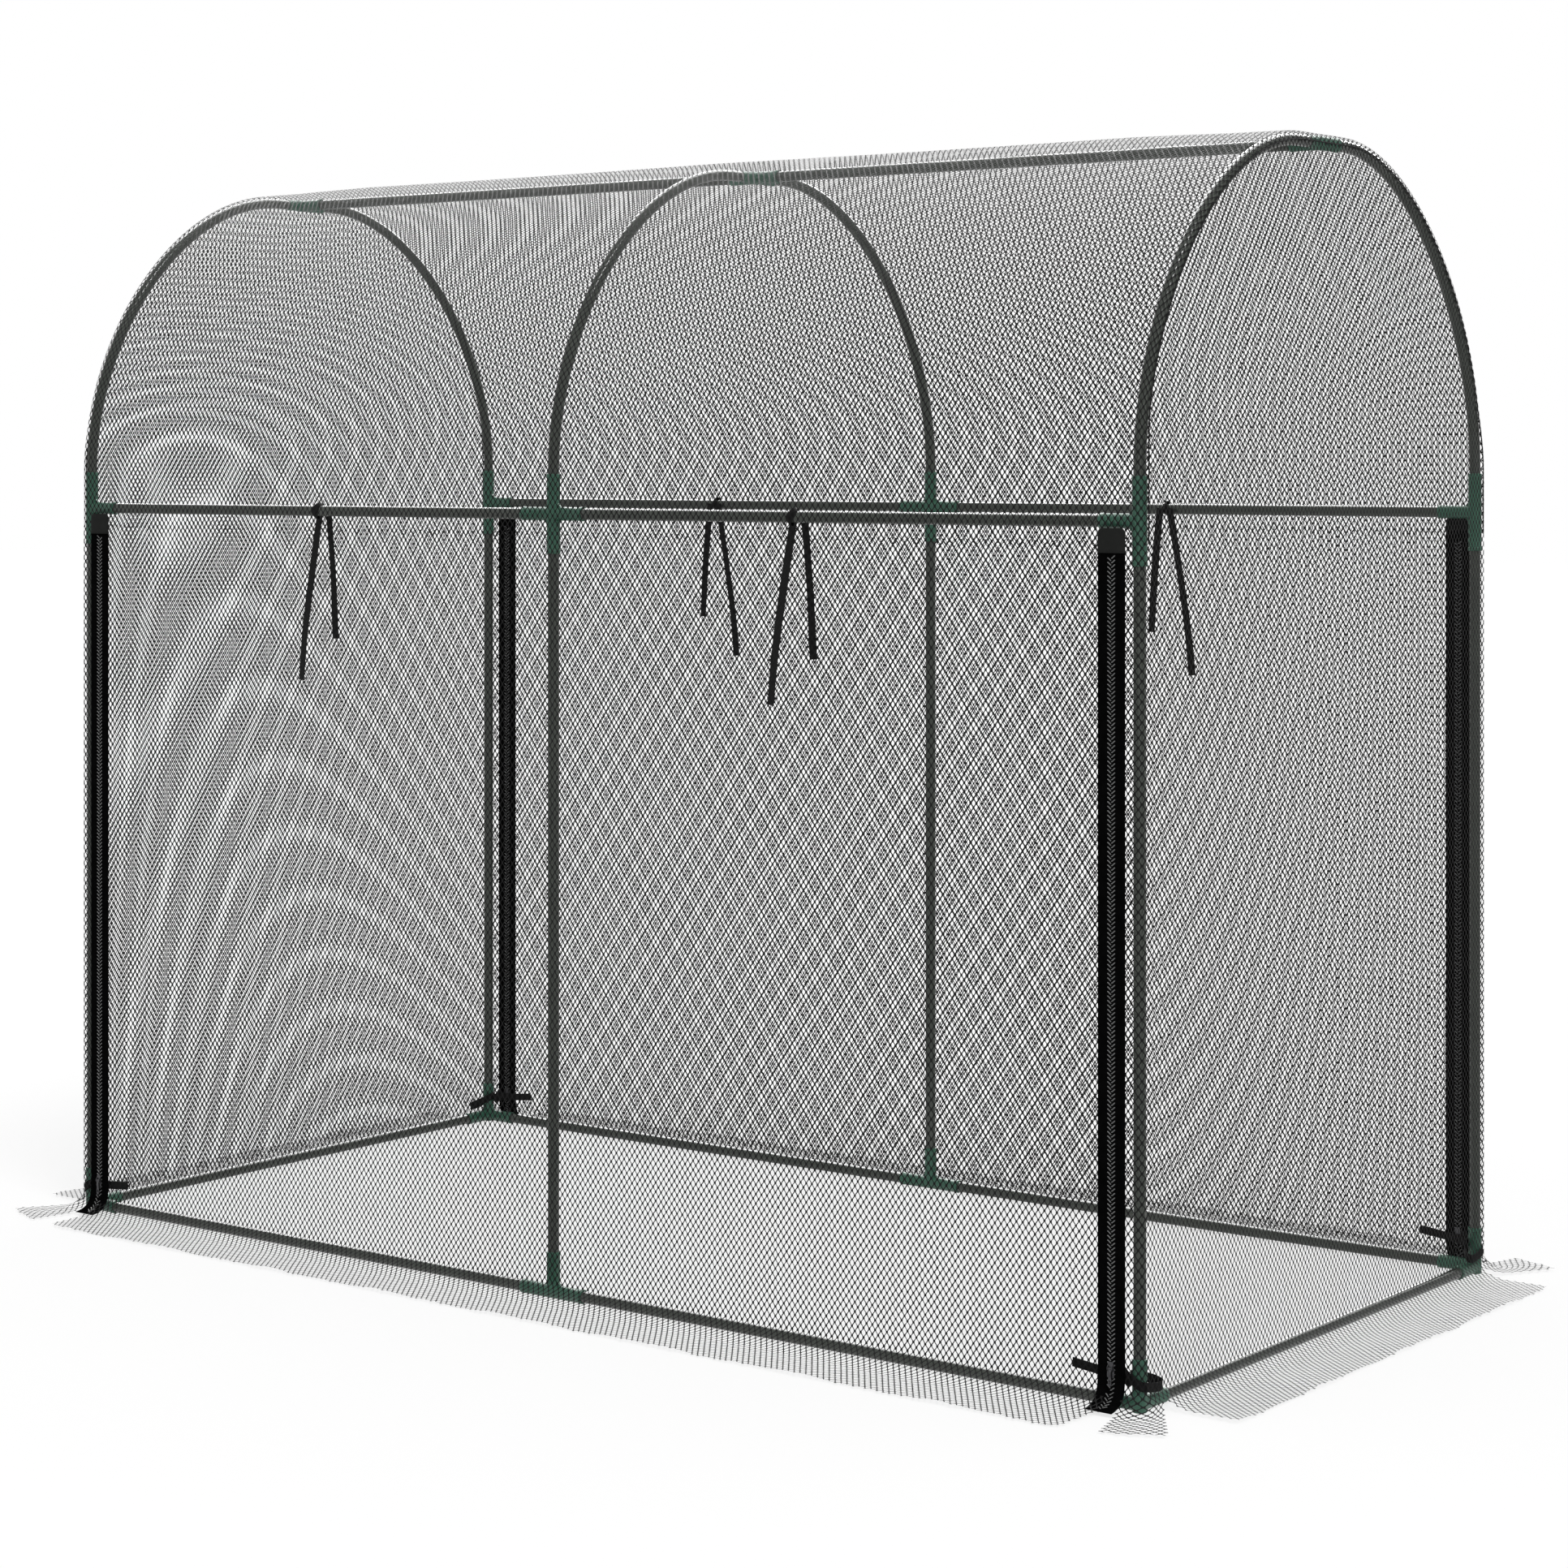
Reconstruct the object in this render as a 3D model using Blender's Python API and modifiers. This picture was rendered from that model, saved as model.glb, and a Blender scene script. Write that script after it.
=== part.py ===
"""Walk-in crop cage: a hooped tube frame, plug-in corner fittings and a net cover with two zipped doors.

Metres, +Z up. The long sides run along X, the front is at -Y, and the origin is on the ground in
the middle of the cage. Each piece is an object of its own; a moving piece has its origin on its axis.
"""

import bpy
import bmesh
from itertools import combinations
from math import cos, pi, radians, sin
from mathutils import Matrix, Vector
from mathutils.geometry import interpolate_bezier

# Frame, measured between tube axes
CAGE_LENGTH = 2.400
CAGE_WIDTH = 1.155
EAVE_HEIGHT = 1.3765
CROWN_HEIGHT = 2.0025
ARCH_HANDLE = 0.50  # pull of the hoop's bend, where an ellipse has 0.5523
ARCH_STEPS = 6
STRAIGHT_SHOWING = 0.006  # of a hoop tube, between its fitting and its bend

# Tubes and fittings
TUBE_DIAMETER = 0.020
TUBE_WALL = 0.0010
TUBE_SIDES = 10
BORE_CLEARANCE = 0.0004  # on the radius
SLEEVE_WALL = 0.0016
SLEEVE_SIDES = 10
SLEEVE_STEP = 0.00015
ARM_LENGTH = 0.070
HUB_WALL = 0.0020  # what is left between a tube's end and the crossing sleeve
GUSSET_REACH = 0.032
GUSSET_THICKNESS = 0.004
CROWN_ARM = 0.056
PLUG_HUB = 0.045  # from a crown fitting's middle to the front hoop tube, which goes over a plug
PLUG_LENGTH = 0.028

# Net cover
SEAT_GAP = 0.0003  # between pieces that touch on the real cage
NET_STRAND = 0.003
SEAM_DROP = 0.035  # roof seam below the eave rail's axis
SHOULDER = 0.56  # where an end net's top corners sit, as a share of the way from seam to crown
ROOF_COLUMNS = 6
END_COLUMNS = 4
END_ROWS = 4
GABLE_ROWS = 2
DOOR_COLUMNS = 6
DOOR_ROWS = 4
FOOT_HEIGHT = 0.032  # where the wall nets turn outwards
FOOT_REACH = 0.012
SKIRT_WIDTH = 0.140
FLAP_RETURN = 0.045  # how far a corner flap runs round onto the end
FLAP_EDGES = ((0.135, radians(15)), (0.160, radians(40)))  # length and lean, by the zip and by the end
SKIRT_COLUMNS = 8

# Zips
ZIP_INSET = 0.041  # from post axis to zip centre line
TAPE_WIDTH = 0.025
TAPE_THICKNESS = 0.0012
CHAIN_WIDTH = 0.0055
CHAIN_THICKNESS = 0.0030
TAPE_FOOT = 0.010
SLIDER_REST = 0.050
SLIDER_LENGTH = 0.025
SLIDER_WIDTH = 0.013
SLIDER_PLATE = 0.0012
SLIDER_WEB = 0.0006
BAIL_LEG = 0.0012
PULL_WIDTH = 0.0060
PULL_LENGTH = 0.028
PULL_THICKNESS = 0.0014
PULL_EYE_RADIUS = 0.0016
PULL_CLEARANCE = 0.0005

# Ribbon ties
TIE_PLACES = {("front", "left"): -0.577, ("front", "right"): 0.529,
              ("back", "left"): -0.546, ("back", "right"): 0.558}
RIBBON_WIDTH = 0.015
RIBBON_THICKNESS = 0.0012
LONG_TAIL = 0.320
SHORT_TAIL = 0.240
LONG_SPLAY = 0.160  # sideways lean of a tail for each metre that it hangs
SHORT_SPLAY = 0.085
TAIL_START = 0.010  # from the knot's middle to the middle of each tail's upper end
KNOT_RADIUS = 0.0065
CORNER_TIE_HEIGHT = 0.052
CORNER_TAIL = ((0, 0), (0.010, 0.005), (0.030, 0.0105), (0.098, 0.0115))  # (inwards, outwards) from its knot
CORNER_TAIL_RISE = radians(6)

# Worked out from the sizes above
TUBE_RADIUS = TUBE_DIAMETER / 2
FACETS_CLEAR = 1 / cos(pi / SLEEVE_SIDES)  # lets a round piece turn freely in a faceted bore
BORE_RADIUS = (TUBE_RADIUS + BORE_CLEARANCE) * FACETS_CLEAR
SLEEVE_RADIUS = BORE_RADIUS + SLEEVE_WALL
BORE_FLOOR = SLEEVE_RADIUS + HUB_WALL
TUBE_STOP = BORE_FLOOR + SEAT_GAP
PLUG_RADIUS = (TUBE_RADIUS - TUBE_WALL) / FACETS_CLEAR - BORE_CLEARANCE
BASE_HEIGHT = SLEEVE_RADIUS
HALF_LENGTH = CAGE_LENGTH / 2
HALF_WIDTH = CAGE_WIDTH / 2
BAND_BORE = (SLEEVE_RADIUS + SEAT_GAP) * FACETS_CLEAR
NET_OFFSET = BAND_BORE + RIBBON_THICKNESS + SEAT_GAP + NET_STRAND / 2
ROOF_OFFSET = NET_OFFSET + NET_STRAND + SEAT_GAP
NET_X = HALF_LENGTH + NET_OFFSET
NET_Y = HALF_WIDTH + NET_OFFSET
SEAM_HEIGHT = EAVE_HEIGHT - SEAM_DROP
GROUND_NET = NET_STRAND / 2 + SEAT_GAP
ZIP_X = HALF_LENGTH - ZIP_INSET
ZIP_HALF_GAP = SLIDER_WEB / 2 + SEAT_GAP
RETURN_X = ZIP_X + TAPE_WIDTH
DOOR_X = ZIP_X - TAPE_WIDTH
DOOR_FOOT = FOOT_HEIGHT + NET_STRAND + SEAT_GAP
KNOT_SEAT = KNOT_RADIUS * 0.7  # from the band's bore to the knot's middle, so that the two are one
BAIL_Y = CHAIN_THICKNESS / 2 + SEAT_GAP + SLIDER_PLATE
BAR_Y = BAIL_Y + PULL_EYE_RADIUS + PULL_CLEARANCE
BAR_Z = SLIDER_LENGTH * 0.6

SIDES = {"front": -1, "back": 1}
ENDS = {"left": -1, "right": 1}
CROWN_STOP = {"front": PLUG_HUB + SEAT_GAP, "back": TUBE_STOP}


# Scene helpers

def clear_scene():
    for obj in list(bpy.data.objects):
        bpy.data.objects.remove(obj, do_unlink=True)
    for coll in list(bpy.data.collections):
        bpy.data.collections.remove(coll)


def new_collection(name):
    coll = bpy.data.collections.new(name)
    bpy.context.scene.collection.children.link(coll)
    return coll


def material(name, colour, roughness, metallic=0.0):
    mat = bpy.data.materials.new(name)
    mat.use_nodes = True
    shader = mat.node_tree.nodes["Principled BSDF"]
    shader.inputs["Base Color"].default_value = (*colour, 1.0)
    shader.inputs["Roughness"].default_value = roughness
    shader.inputs["Metallic"].default_value = metallic
    mat.diffuse_color = (*colour, 1.0)
    return mat


clear_scene()
PARTS = new_collection("crop_cage")
GUIDES = new_collection("cutters")

TUBE_PAINT = material("tube_paint", (0.075, 0.082, 0.072), 0.38)
FITTING_PLASTIC = material("fitting_plastic", (0.020, 0.080, 0.050), 0.50)
NET_YARN = material("net_yarn", (0.010, 0.010, 0.010), 0.80)
ZIP_METAL = material("zip_metal", (0.120, 0.120, 0.125), 0.35, 0.9)
RIBBON = material("ribbon", (0.012, 0.012, 0.013), 0.70)


def add(name, data, mat, place=Matrix()):
    obj = bpy.data.objects.new(name, data)
    PARTS.objects.link(obj)
    if not data.materials:
        data.materials.append(mat)
    obj.matrix_world = place
    return obj


def guide(name, data, place=Matrix()):
    obj = bpy.data.objects.new(name, data)
    GUIDES.objects.link(obj)
    obj.matrix_world = place
    obj.hide_render = True
    obj.display_type = "WIRE"
    return obj


def bake(obj, name):
    """The evaluated mesh of a guide object, in world space, with its loose caps welded."""
    bpy.context.view_layer.update()
    mesh = bpy.data.meshes.new_from_object(obj.evaluated_get(bpy.context.evaluated_depsgraph_get()))
    mesh.transform(obj.matrix_world)
    mesh.name = name
    bm = bmesh.new()
    bm.from_mesh(mesh)
    bmesh.ops.remove_doubles(bm, verts=bm.verts, dist=1e-6)
    bmesh.ops.recalc_face_normals(bm, faces=bm.faces)
    bm.to_mesh(mesh)
    bm.free()
    return mesh


def combined(name, first, joined=(), cut=()):
    """One mesh: the first guide with others joined to it, then others cut away, shaded smooth."""
    for operation, others in (("UNION", joined), ("DIFFERENCE", cut)):
        for other in others:
            modifier = first.modifiers.new(operation.lower(), "BOOLEAN")
            modifier.operation = operation
            modifier.object = other
            modifier.solver = "EXACT"
    mesh = bake(first, name)
    mesh.shade_smooth()
    mesh.set_sharp_from_angle(angle=2.1 * pi / SLEEVE_SIDES)
    for obj in (first, *joined, *cut):
        bpy.data.objects.remove(obj, do_unlink=True)
    return mesh


# Shapes

def rod(start, end, radius, sides):
    """A solid cylinder between two points."""
    start, end = Vector(start), Vector(end)
    axis = end - start
    bm = bmesh.new()
    bmesh.ops.create_cone(bm, cap_ends=True, segments=sides, radius1=radius, radius2=radius,
                          depth=axis.length)
    mesh = bpy.data.meshes.new("rod")
    bm.to_mesh(mesh)
    bm.free()
    turn = Vector((0, 0, 1)).rotation_difference(axis).to_matrix().to_4x4()
    return guide("rod", mesh, Matrix.Translation((start + end) / 2) @ turn)


def block(low, high):
    low, high = Vector(low), Vector(high)
    bm = bmesh.new()
    bmesh.ops.create_cube(bm, size=1.0)
    bmesh.ops.scale(bm, vec=high - low, verts=bm.verts)
    bmesh.ops.translate(bm, vec=(low + high) / 2, verts=bm.verts)
    mesh = bpy.data.meshes.new("block")
    bm.to_mesh(mesh)
    bm.free()
    return guide("block", mesh)


def outline_curve(name, points, thickness):
    """A flat outline in XY as a solid of that thickness about its plane."""
    curve = bpy.data.curves.new(name, "CURVE")
    curve.dimensions = "2D"
    curve.fill_mode = "BOTH"
    curve.extrude = thickness / 2
    spline = curve.splines.new("POLY")
    spline.points.add(len(points) - 1)
    for point, (x, y) in zip(spline.points, points):
        point.co = (x, y, 0, 1)
    spline.use_cyclic_u = True
    return curve


def extrusion(outline, thickness, place=Matrix()):
    """A solid guide from one outline, already placed."""
    flat = guide("outline", outline_curve("outline", outline, thickness), place)
    solid = guide("extrusion", bake(flat, "extrusion"))
    bpy.data.objects.remove(flat, do_unlink=True)
    return solid


def tube(name, points):
    """A hollow tube along a line of points."""
    curve = bpy.data.curves.new(name, "CURVE")
    curve.dimensions = "3D"
    curve.bevel_depth = TUBE_RADIUS
    curve.bevel_resolution = (TUBE_SIDES - 4) // 2
    curve.use_fill_caps = False
    spline = curve.splines.new("POLY")
    spline.points.add(len(points) - 1)
    for point, co in zip(spline.points, points):
        point.co = (*co, 1)
    obj = add(name, curve, TUBE_PAINT)
    wall = obj.modifiers.new("wall", "SOLIDIFY")
    wall.thickness = TUBE_WALL
    wall.offset = -1
    wall.use_even_offset = True
    return obj


# Frame

def arch_line():
    """The hoop's bend in (y, z), from the eave fitting to the crown fitting, for the half at -Y."""
    straight = ARM_LENGTH + STRAIGHT_SHOWING
    low = Vector((-HALF_WIDTH, EAVE_HEIGHT + straight, 0))
    high = Vector((-straight, CROWN_HEIGHT, 0))
    up = Vector((0, (high.y - low.y) * ARCH_HANDLE, 0))
    along = Vector(((high.x - low.x) * ARCH_HANDLE, 0, 0))
    bend = interpolate_bezier(low, low + up, high - along, high, ARCH_STEPS + 1)
    return [(p.x, p.y) for p in bend]


def build_tubes():
    bays = {"left": (-HALF_LENGTH, 0), "right": (0, HALF_LENGTH)}
    hoops = {"left": -HALF_LENGTH, "middle": 0, "right": HALF_LENGTH}
    for side, sign in SIDES.items():
        y = sign * HALF_WIDTH
        for hoop, x in hoops.items():
            tube(f"post_{side}_{hoop}",
                 [(x, y, BASE_HEIGHT + TUBE_STOP), (x, y, EAVE_HEIGHT - TUBE_STOP)])
            bend = [(x, -sign * by, bz) for by, bz in arch_line()]
            tube(f"arch_{side}_{hoop}",
                 [(x, y, EAVE_HEIGHT + TUBE_STOP), *bend, (x, sign * CROWN_STOP[side], CROWN_HEIGHT)])
        for bay, (x0, x1) in bays.items():
            for level, z in (("eave", EAVE_HEIGHT), ("base", BASE_HEIGHT)):
                tube(f"{level}_tube_{side}_{bay}",
                     [(x0 + TUBE_STOP, y, z), (x1 - TUBE_STOP, y, z)])
    for bay, (x0, x1) in bays.items():
        tube(f"ridge_tube_{bay}",
             [(x0 + TUBE_STOP, 0, CROWN_HEIGHT), (x1 - TUBE_STOP, 0, CROWN_HEIGHT)])
    for end, sign in ENDS.items():
        x = sign * HALF_LENGTH
        tube(f"base_tube_{end}_end",
             [(x, TUBE_STOP - HALF_WIDTH, BASE_HEIGHT), (x, HALF_WIDTH - TUBE_STOP, BASE_HEIGHT)])


def fitting_mesh(name, runs, reach=ARM_LENGTH, plugged=False):
    """Sleeves along axes, one or two arms each, with webs between them and a bore up each arm.

    Each sleeve is a hair thinner than the one before, so that no two share a surface. A plugged
    fitting has a plug, for a tube that is pushed over it, on the far arm of its first run.
    """
    sleeves, arms, plugs = [], [], []
    for k, (axis, count) in enumerate(runs):
        back = reach if count == 2 else 0 if sleeves else SLEEVE_RADIUS
        if plugged and not sleeves:
            back, count = PLUG_HUB, 1
            plugs.append(rod(-axis * SLEEVE_RADIUS, -axis * (PLUG_HUB + PLUG_LENGTH), PLUG_RADIUS,
                             SLEEVE_SIDES))
        sleeves.append(rod(-axis * back, axis * reach, SLEEVE_RADIUS - k * SLEEVE_STEP, SLEEVE_SIDES))
        arms += [axis, -axis][:count]
    webs = []
    for (a, a_count), (b, b_count) in combinations(runs, 2):
        outline = [(GUSSET_REACH, 0), (0, GUSSET_REACH),
                   (-GUSSET_REACH * (a_count - 1), 0), (0, -GUSSET_REACH * (b_count - 1))]
        turn = Matrix((a, b, a.cross(b))).transposed().to_4x4()
        webs.append(extrusion(list(dict.fromkeys(outline)), GUSSET_THICKNESS, turn))
    bores = [rod(arm * BORE_FLOOR, arm * (reach + BORE_FLOOR), BORE_RADIUS, SLEEVE_SIDES)
             for arm in arms]
    return combined(name, sleeves[0], [*sleeves[1:], *webs, *plugs], bores)


def build_fittings():
    x, y, z = Vector((1, 0, 0)), Vector((0, 1, 0)), Vector((0, 0, 1))
    corner = fitting_mesh("corner_fitting", [(z, 1), (x, 1), (y, 1)])
    tee = fitting_mesh("tee_fitting", [(x, 2), (z, 1)])
    cross = fitting_mesh("cross_fitting", [(x, 2), (z, 2)])
    crown_tee = fitting_mesh("crown_tee_fitting", [(x, 2), (z, 1)], CROWN_ARM, True)
    crown_cross = fitting_mesh("crown_cross_fitting", [(y, 2), (x, 2)], CROWN_ARM, True)

    def place(name, mesh, at, axis="Z", quarter_turns=0):
        turn = Matrix.Rotation(quarter_turns * pi / 2, 4, axis)
        add(name, mesh, FITTING_PLASTIC, Matrix.Translation(at) @ turn)

    corner_turns = {("front", "left"): 0, ("front", "right"): 1, ("back", "right"): 2, ("back", "left"): 3}
    for side, side_sign in SIDES.items():
        at_y = side_sign * HALF_WIDTH
        for end, end_sign in ENDS.items():
            at_x = end_sign * HALF_LENGTH
            place(f"base_corner_{side}_{end}", corner, (at_x, at_y, BASE_HEIGHT),
                  "Z", corner_turns[side, end])
            place(f"eave_tee_{side}_{end}", tee, (at_x, at_y, EAVE_HEIGHT), "Y", -end_sign)
        place(f"base_tee_{side}", tee, (0, at_y, BASE_HEIGHT))
        place(f"eave_cross_{side}", cross, (0, at_y, EAVE_HEIGHT))
    for end, end_sign in ENDS.items():
        lay = Matrix.Rotation(-end_sign * pi / 2, 4, "Y") @ Matrix.Rotation(pi / 2, 4, "Z")
        add(f"crown_tee_{end}", crown_tee, FITTING_PLASTIC,
            Matrix.Translation((end_sign * HALF_LENGTH, 0, CROWN_HEIGHT)) @ lay)
    place("crown_cross", crown_cross, (0, 0, CROWN_HEIGHT))


# Net

def cover_line(offset):
    """The cover's line over the hoop in (y, z), from the front seam up to the crown fittings.

    It lies that far outside the hoop, and comes down to rest on the fittings.
    """
    crest = CROWN_HEIGHT + SLEEVE_RADIUS + SEAT_GAP + NET_STRAND / 2
    bend = [Vector(p) for p in arch_line()]
    line = [Vector((-HALF_WIDTH - offset, SEAM_HEIGHT)), Vector((-HALF_WIDTH - offset, bend[0].y))]
    for before, at, after in zip(bend, bend[1:], bend[2:]):
        run = (after - before).normalized()
        line.append(at + Vector((-run.y, run.x)) * offset)
    return line + [Vector((bend[-1].x, crest)), Vector((0, crest))]


def along(line, share):
    """The point at that share of a line's length."""
    steps = [(b - a).length for a, b in zip(line, line[1:])]
    left = share * sum(steps)
    for a, b, step in zip(line, line[1:], steps):
        if left <= step:
            return a.lerp(b, left / step)
        left -= step
    return line[-1].copy()


def diamonds(bm, keep=lambda edge: False):
    """Turns a mesh of squares into one of diamonds, with the rim and the kept edges left in."""
    old = [edge for edge in bm.edges if not edge.is_boundary and not keep(edge)]
    bmesh.ops.poke(bm, faces=bm.faces)
    bmesh.ops.dissolve_edges(bm, edges=old, use_verts=False)


def net_object(name, bm, tapes=()):
    """A net whose strands run along the mesh's edges, with any zip tapes sewn to its rim."""
    mesh = bpy.data.meshes.new(name)
    bm.to_mesh(mesh)
    bm.free()
    obj = guide(name, mesh) if tapes else add(name, mesh, NET_YARN)
    strands = obj.modifiers.new("strands", "WIREFRAME")
    strands.thickness = NET_STRAND
    strands.use_replace = True
    strands.use_boundary = True
    strands.use_even_offset = False
    strands.use_relative_offset = False
    if tapes:
        add(name, combined(name, obj, tapes), NET_YARN)


def grid(columns, rows):
    """Squares of one unit with their corners at whole numbers."""
    bm = bmesh.new()
    bmesh.ops.create_grid(bm, x_segments=columns, y_segments=rows, size=0.5)
    for vert in bm.verts:
        vert.co = ((vert.co.x + 0.5) * columns, (vert.co.y + 0.5) * rows, 0)
    return bm


def zip_tape(x, direction, y, foot):
    """A zip tape with its half of the chain, which lies towards the zip's middle at x."""
    inner, chain, outer = ZIP_HALF_GAP, ZIP_HALF_GAP + CHAIN_WIDTH, TAPE_WIDTH
    half_chain, half_tape = CHAIN_THICKNESS / 2, TAPE_THICKNESS / 2
    outline = [(inner, -half_chain), (chain, -half_chain), (chain, -half_tape), (outer, -half_tape),
               (outer, half_tape), (chain, half_tape), (chain, half_chain), (inner, half_chain)]
    height = SEAM_HEIGHT - foot
    place = Matrix.Translation((x, y, foot + height / 2))
    return extrusion([(direction * across, thick) for across, thick in outline], height, place)


def build_roof_net():
    """The roof from seam to seam, with two of the hoop's steps in each row of the net."""
    front = cover_line(ROOF_OFFSET)
    line = front + [Vector((-p.x, p.y)) for p in front[-2::-1]]
    half_length = NET_X - NET_STRAND - SEAT_GAP
    bm = grid(ROOF_COLUMNS, len(front) - 1)
    diamonds(bm)
    for vert in bm.verts:
        point = line[round(2 * vert.co.y)]
        vert.co = ((2 * vert.co.x / ROOF_COLUMNS - 1) * half_length, point.x, point.y)
    bmesh.ops.recalc_face_normals(bm, faces=bm.faces)
    net_object("roof_net", bm)


def build_end_net(end, sign):
    """Gable and end wall, the strips round both corners to the zips, and their skirts."""
    line = cover_line(ROOF_OFFSET)
    rows = END_ROWS + GABLE_ROWS
    side = [Vector((-NET_Y, FOOT_HEIGHT + (SEAM_HEIGHT - FOOT_HEIGHT) * j / END_ROWS))
            for j in range(END_ROWS + 1)]
    side += [along(line, SHOULDER * j / GABLE_ROWS) for j in range(1, GABLE_ROWS + 1)]
    flap = FLAP_RETURN / (2 * NET_Y)

    def mirrored(point):
        return Vector((-point.x, point.y))

    def top(u):
        point = along(line, SHOULDER + (1 - SHOULDER) * min(2 * u, 2 - 2 * u))
        return point if u <= 0.5 else mirrored(point)

    def wall_point(u, j):
        """A Coons patch between the ground line, the two sides and the top of the hoop."""
        v = j / rows
        ground = side[0].lerp(mirrored(side[0]), u)
        corners = ground.lerp(side[-1].lerp(mirrored(side[-1]), u), v)
        return side[j].lerp(mirrored(side[j]), u) + ground.lerp(top(u), v) - corners

    bm = bmesh.new()

    def wall_vert(u, j):
        point = wall_point(u, j)
        return bm.verts.new((sign * NET_X, point.x, point.y))

    wall = {(i, j): wall_vert(i / END_COLUMNS, j)
            for i in range(END_COLUMNS + 1) for j in range(rows + 1)}
    foot_mid = {0: wall_vert(flap, 0), END_COLUMNS - 1: wall_vert(1 - flap, 0)}
    top_mid = {i: wall_vert((i + 0.5) / END_COLUMNS, rows) for i in range(END_COLUMNS)}
    for j in range(END_ROWS + 1):
        for i, y in ((-1, -NET_Y), (END_COLUMNS + 1, NET_Y)):
            wall[i, j] = bm.verts.new((sign * RETURN_X, y, side[j].y))
    for i in range(-1, END_COLUMNS + 1):
        for j in range(rows):
            if 0 <= i < END_COLUMNS or j < END_ROWS:
                extra_foot = [foot_mid[i]] if j == 0 and i in foot_mid else []
                extra_top = [top_mid[i]] if j == rows - 1 else []
                bm.faces.new([wall[i, j], *extra_foot, wall[i + 1, j],
                              wall[i + 1, j + 1], *extra_top, wall[i, j + 1]])
    diamonds(bm, lambda edge: edge.calc_face_angle(0) > 1)

    def skirt(feet, edge):
        """Squares from the foot of the wall down to the ground and out to the edge."""
        turn = [foot.co.xy + (far - foot.co.xy).normalized() * FOOT_REACH for foot, far in zip(feet, edge)]
        lines = [feet, *[[bm.verts.new((*point, z)) for point in points]
                         for points, z in ((turn, 2 * GROUND_NET), (edge, GROUND_NET))]]
        for near, far in zip(lines, lines[1:]):
            for k in range(len(feet) - 1):
                bm.faces.new((near[k], far[k], far[k + 1], near[k + 1]))

    inner = [foot_mid[0], *[wall[i, 0] for i in range(1, END_COLUMNS)], foot_mid[END_COLUMNS - 1]]
    skirt(inner, [foot.co.xy + Vector((sign * SKIRT_WIDTH, 0)) for foot in inner])
    for feet, out in (([wall[-1, 0], wall[0, 0], inner[0]], -1),
                      ([wall[END_COLUMNS + 1, 0], wall[END_COLUMNS, 0], inner[-1]], 1)):
        low, high = (feet[k].co.xy + length * Vector((sign * sin(lean), out * cos(lean)))
                     for k, (length, lean) in zip((0, 2), FLAP_EDGES))
        skirt(feet, [low, low.lerp(high, 0.5), high])
    bmesh.ops.recalc_face_normals(bm, faces=bm.faces)
    tapes = [zip_tape(sign * ZIP_X, sign, y, TAPE_FOOT) for y in (-NET_Y, NET_Y)]
    net_object(f"{end}_end_net", bm, tapes)


def build_door(side, sign):
    """The door's net, and its skirt, which is the piece that is lifted."""
    bm = grid(DOOR_COLUMNS, DOOR_ROWS)
    diamonds(bm)
    for vert in bm.verts:
        across, up = vert.co.x / DOOR_COLUMNS, vert.co.y / DOOR_ROWS
        vert.co = ((2 * across - 1) * DOOR_X, sign * NET_Y, DOOR_FOOT + up * (SEAM_HEIGHT - DOOR_FOOT))
    tapes = [zip_tape(end * ZIP_X, -end, sign * NET_Y, DOOR_FOOT) for end in (-1, 1)]
    net_object(f"{side}_door_net", bm, tapes)

    half_length = ZIP_X - ZIP_HALF_GAP - NET_STRAND / 2
    fold = [(0, FOOT_HEIGHT), (FOOT_REACH, 2 * GROUND_NET), (SKIRT_WIDTH, GROUND_NET)]
    bm = grid(SKIRT_COLUMNS, len(fold) - 1)
    for vert in bm.verts:
        reach, z = fold[round(vert.co.y)]
        vert.co = ((2 * vert.co.x / SKIRT_COLUMNS - 1) * half_length, sign * (NET_Y + reach), z)
    net_object(f"{side}_door_skirt", bm)


# Zip sliders

def slider_mesh():
    """A slider about its own bottom centre, with its bail at -Y and its pull hanging from it."""
    half, inner = SLIDER_WIDTH / 2, CHAIN_THICKNESS / 2 + SEAT_GAP
    leg_x = PULL_WIDTH / 2 + PULL_CLEARANCE
    body = block((-half, -BAIL_Y, 0), (half, -inner, SLIDER_LENGTH))
    back = block((-half, inner, 0), (half, inner + SLIDER_PLATE, SLIDER_LENGTH))
    web = block((-SLIDER_WEB / 2, -inner - SLIDER_PLATE / 2, 0),
                (SLIDER_WEB / 2, inner + SLIDER_PLATE / 2, SLIDER_LENGTH / 2))
    legs = [block((min(x0, x1), -BAR_Y - PULL_EYE_RADIUS, BAR_Z - BAIL_LEG),
                  (max(x0, x1), -BAIL_Y + SLIDER_PLATE / 2, BAR_Z + BAIL_LEG))
            for x0, x1 in ((leg_x, leg_x + BAIL_LEG), (-leg_x, -leg_x - BAIL_LEG))]
    bar = rod((-leg_x - BAIL_LEG / 2, -BAR_Y, BAR_Z), (leg_x + BAIL_LEG / 2, -BAR_Y, BAR_Z),
              PULL_EYE_RADIUS, 8)
    pull = block((-PULL_WIDTH / 2, -BAR_Y - PULL_THICKNESS / 2, BAR_Z - PULL_LENGTH),
                 (PULL_WIDTH / 2, -BAR_Y + PULL_THICKNESS / 2, BAR_Z))
    return combined("zip_slider", body, [back, web, *legs, bar, pull])


def build_sliders():
    slider = slider_mesh()
    for side, sign in SIDES.items():
        turn = Matrix.Rotation(0 if sign < 0 else pi, 4, "Z")
        for end, end_sign in ENDS.items():
            at = Matrix.Translation((end_sign * ZIP_X, sign * NET_Y, SLIDER_REST)) @ turn
            add(f"zip_slider_{side}_{end}", slider, ZIP_METAL, at)


# Ties

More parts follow.
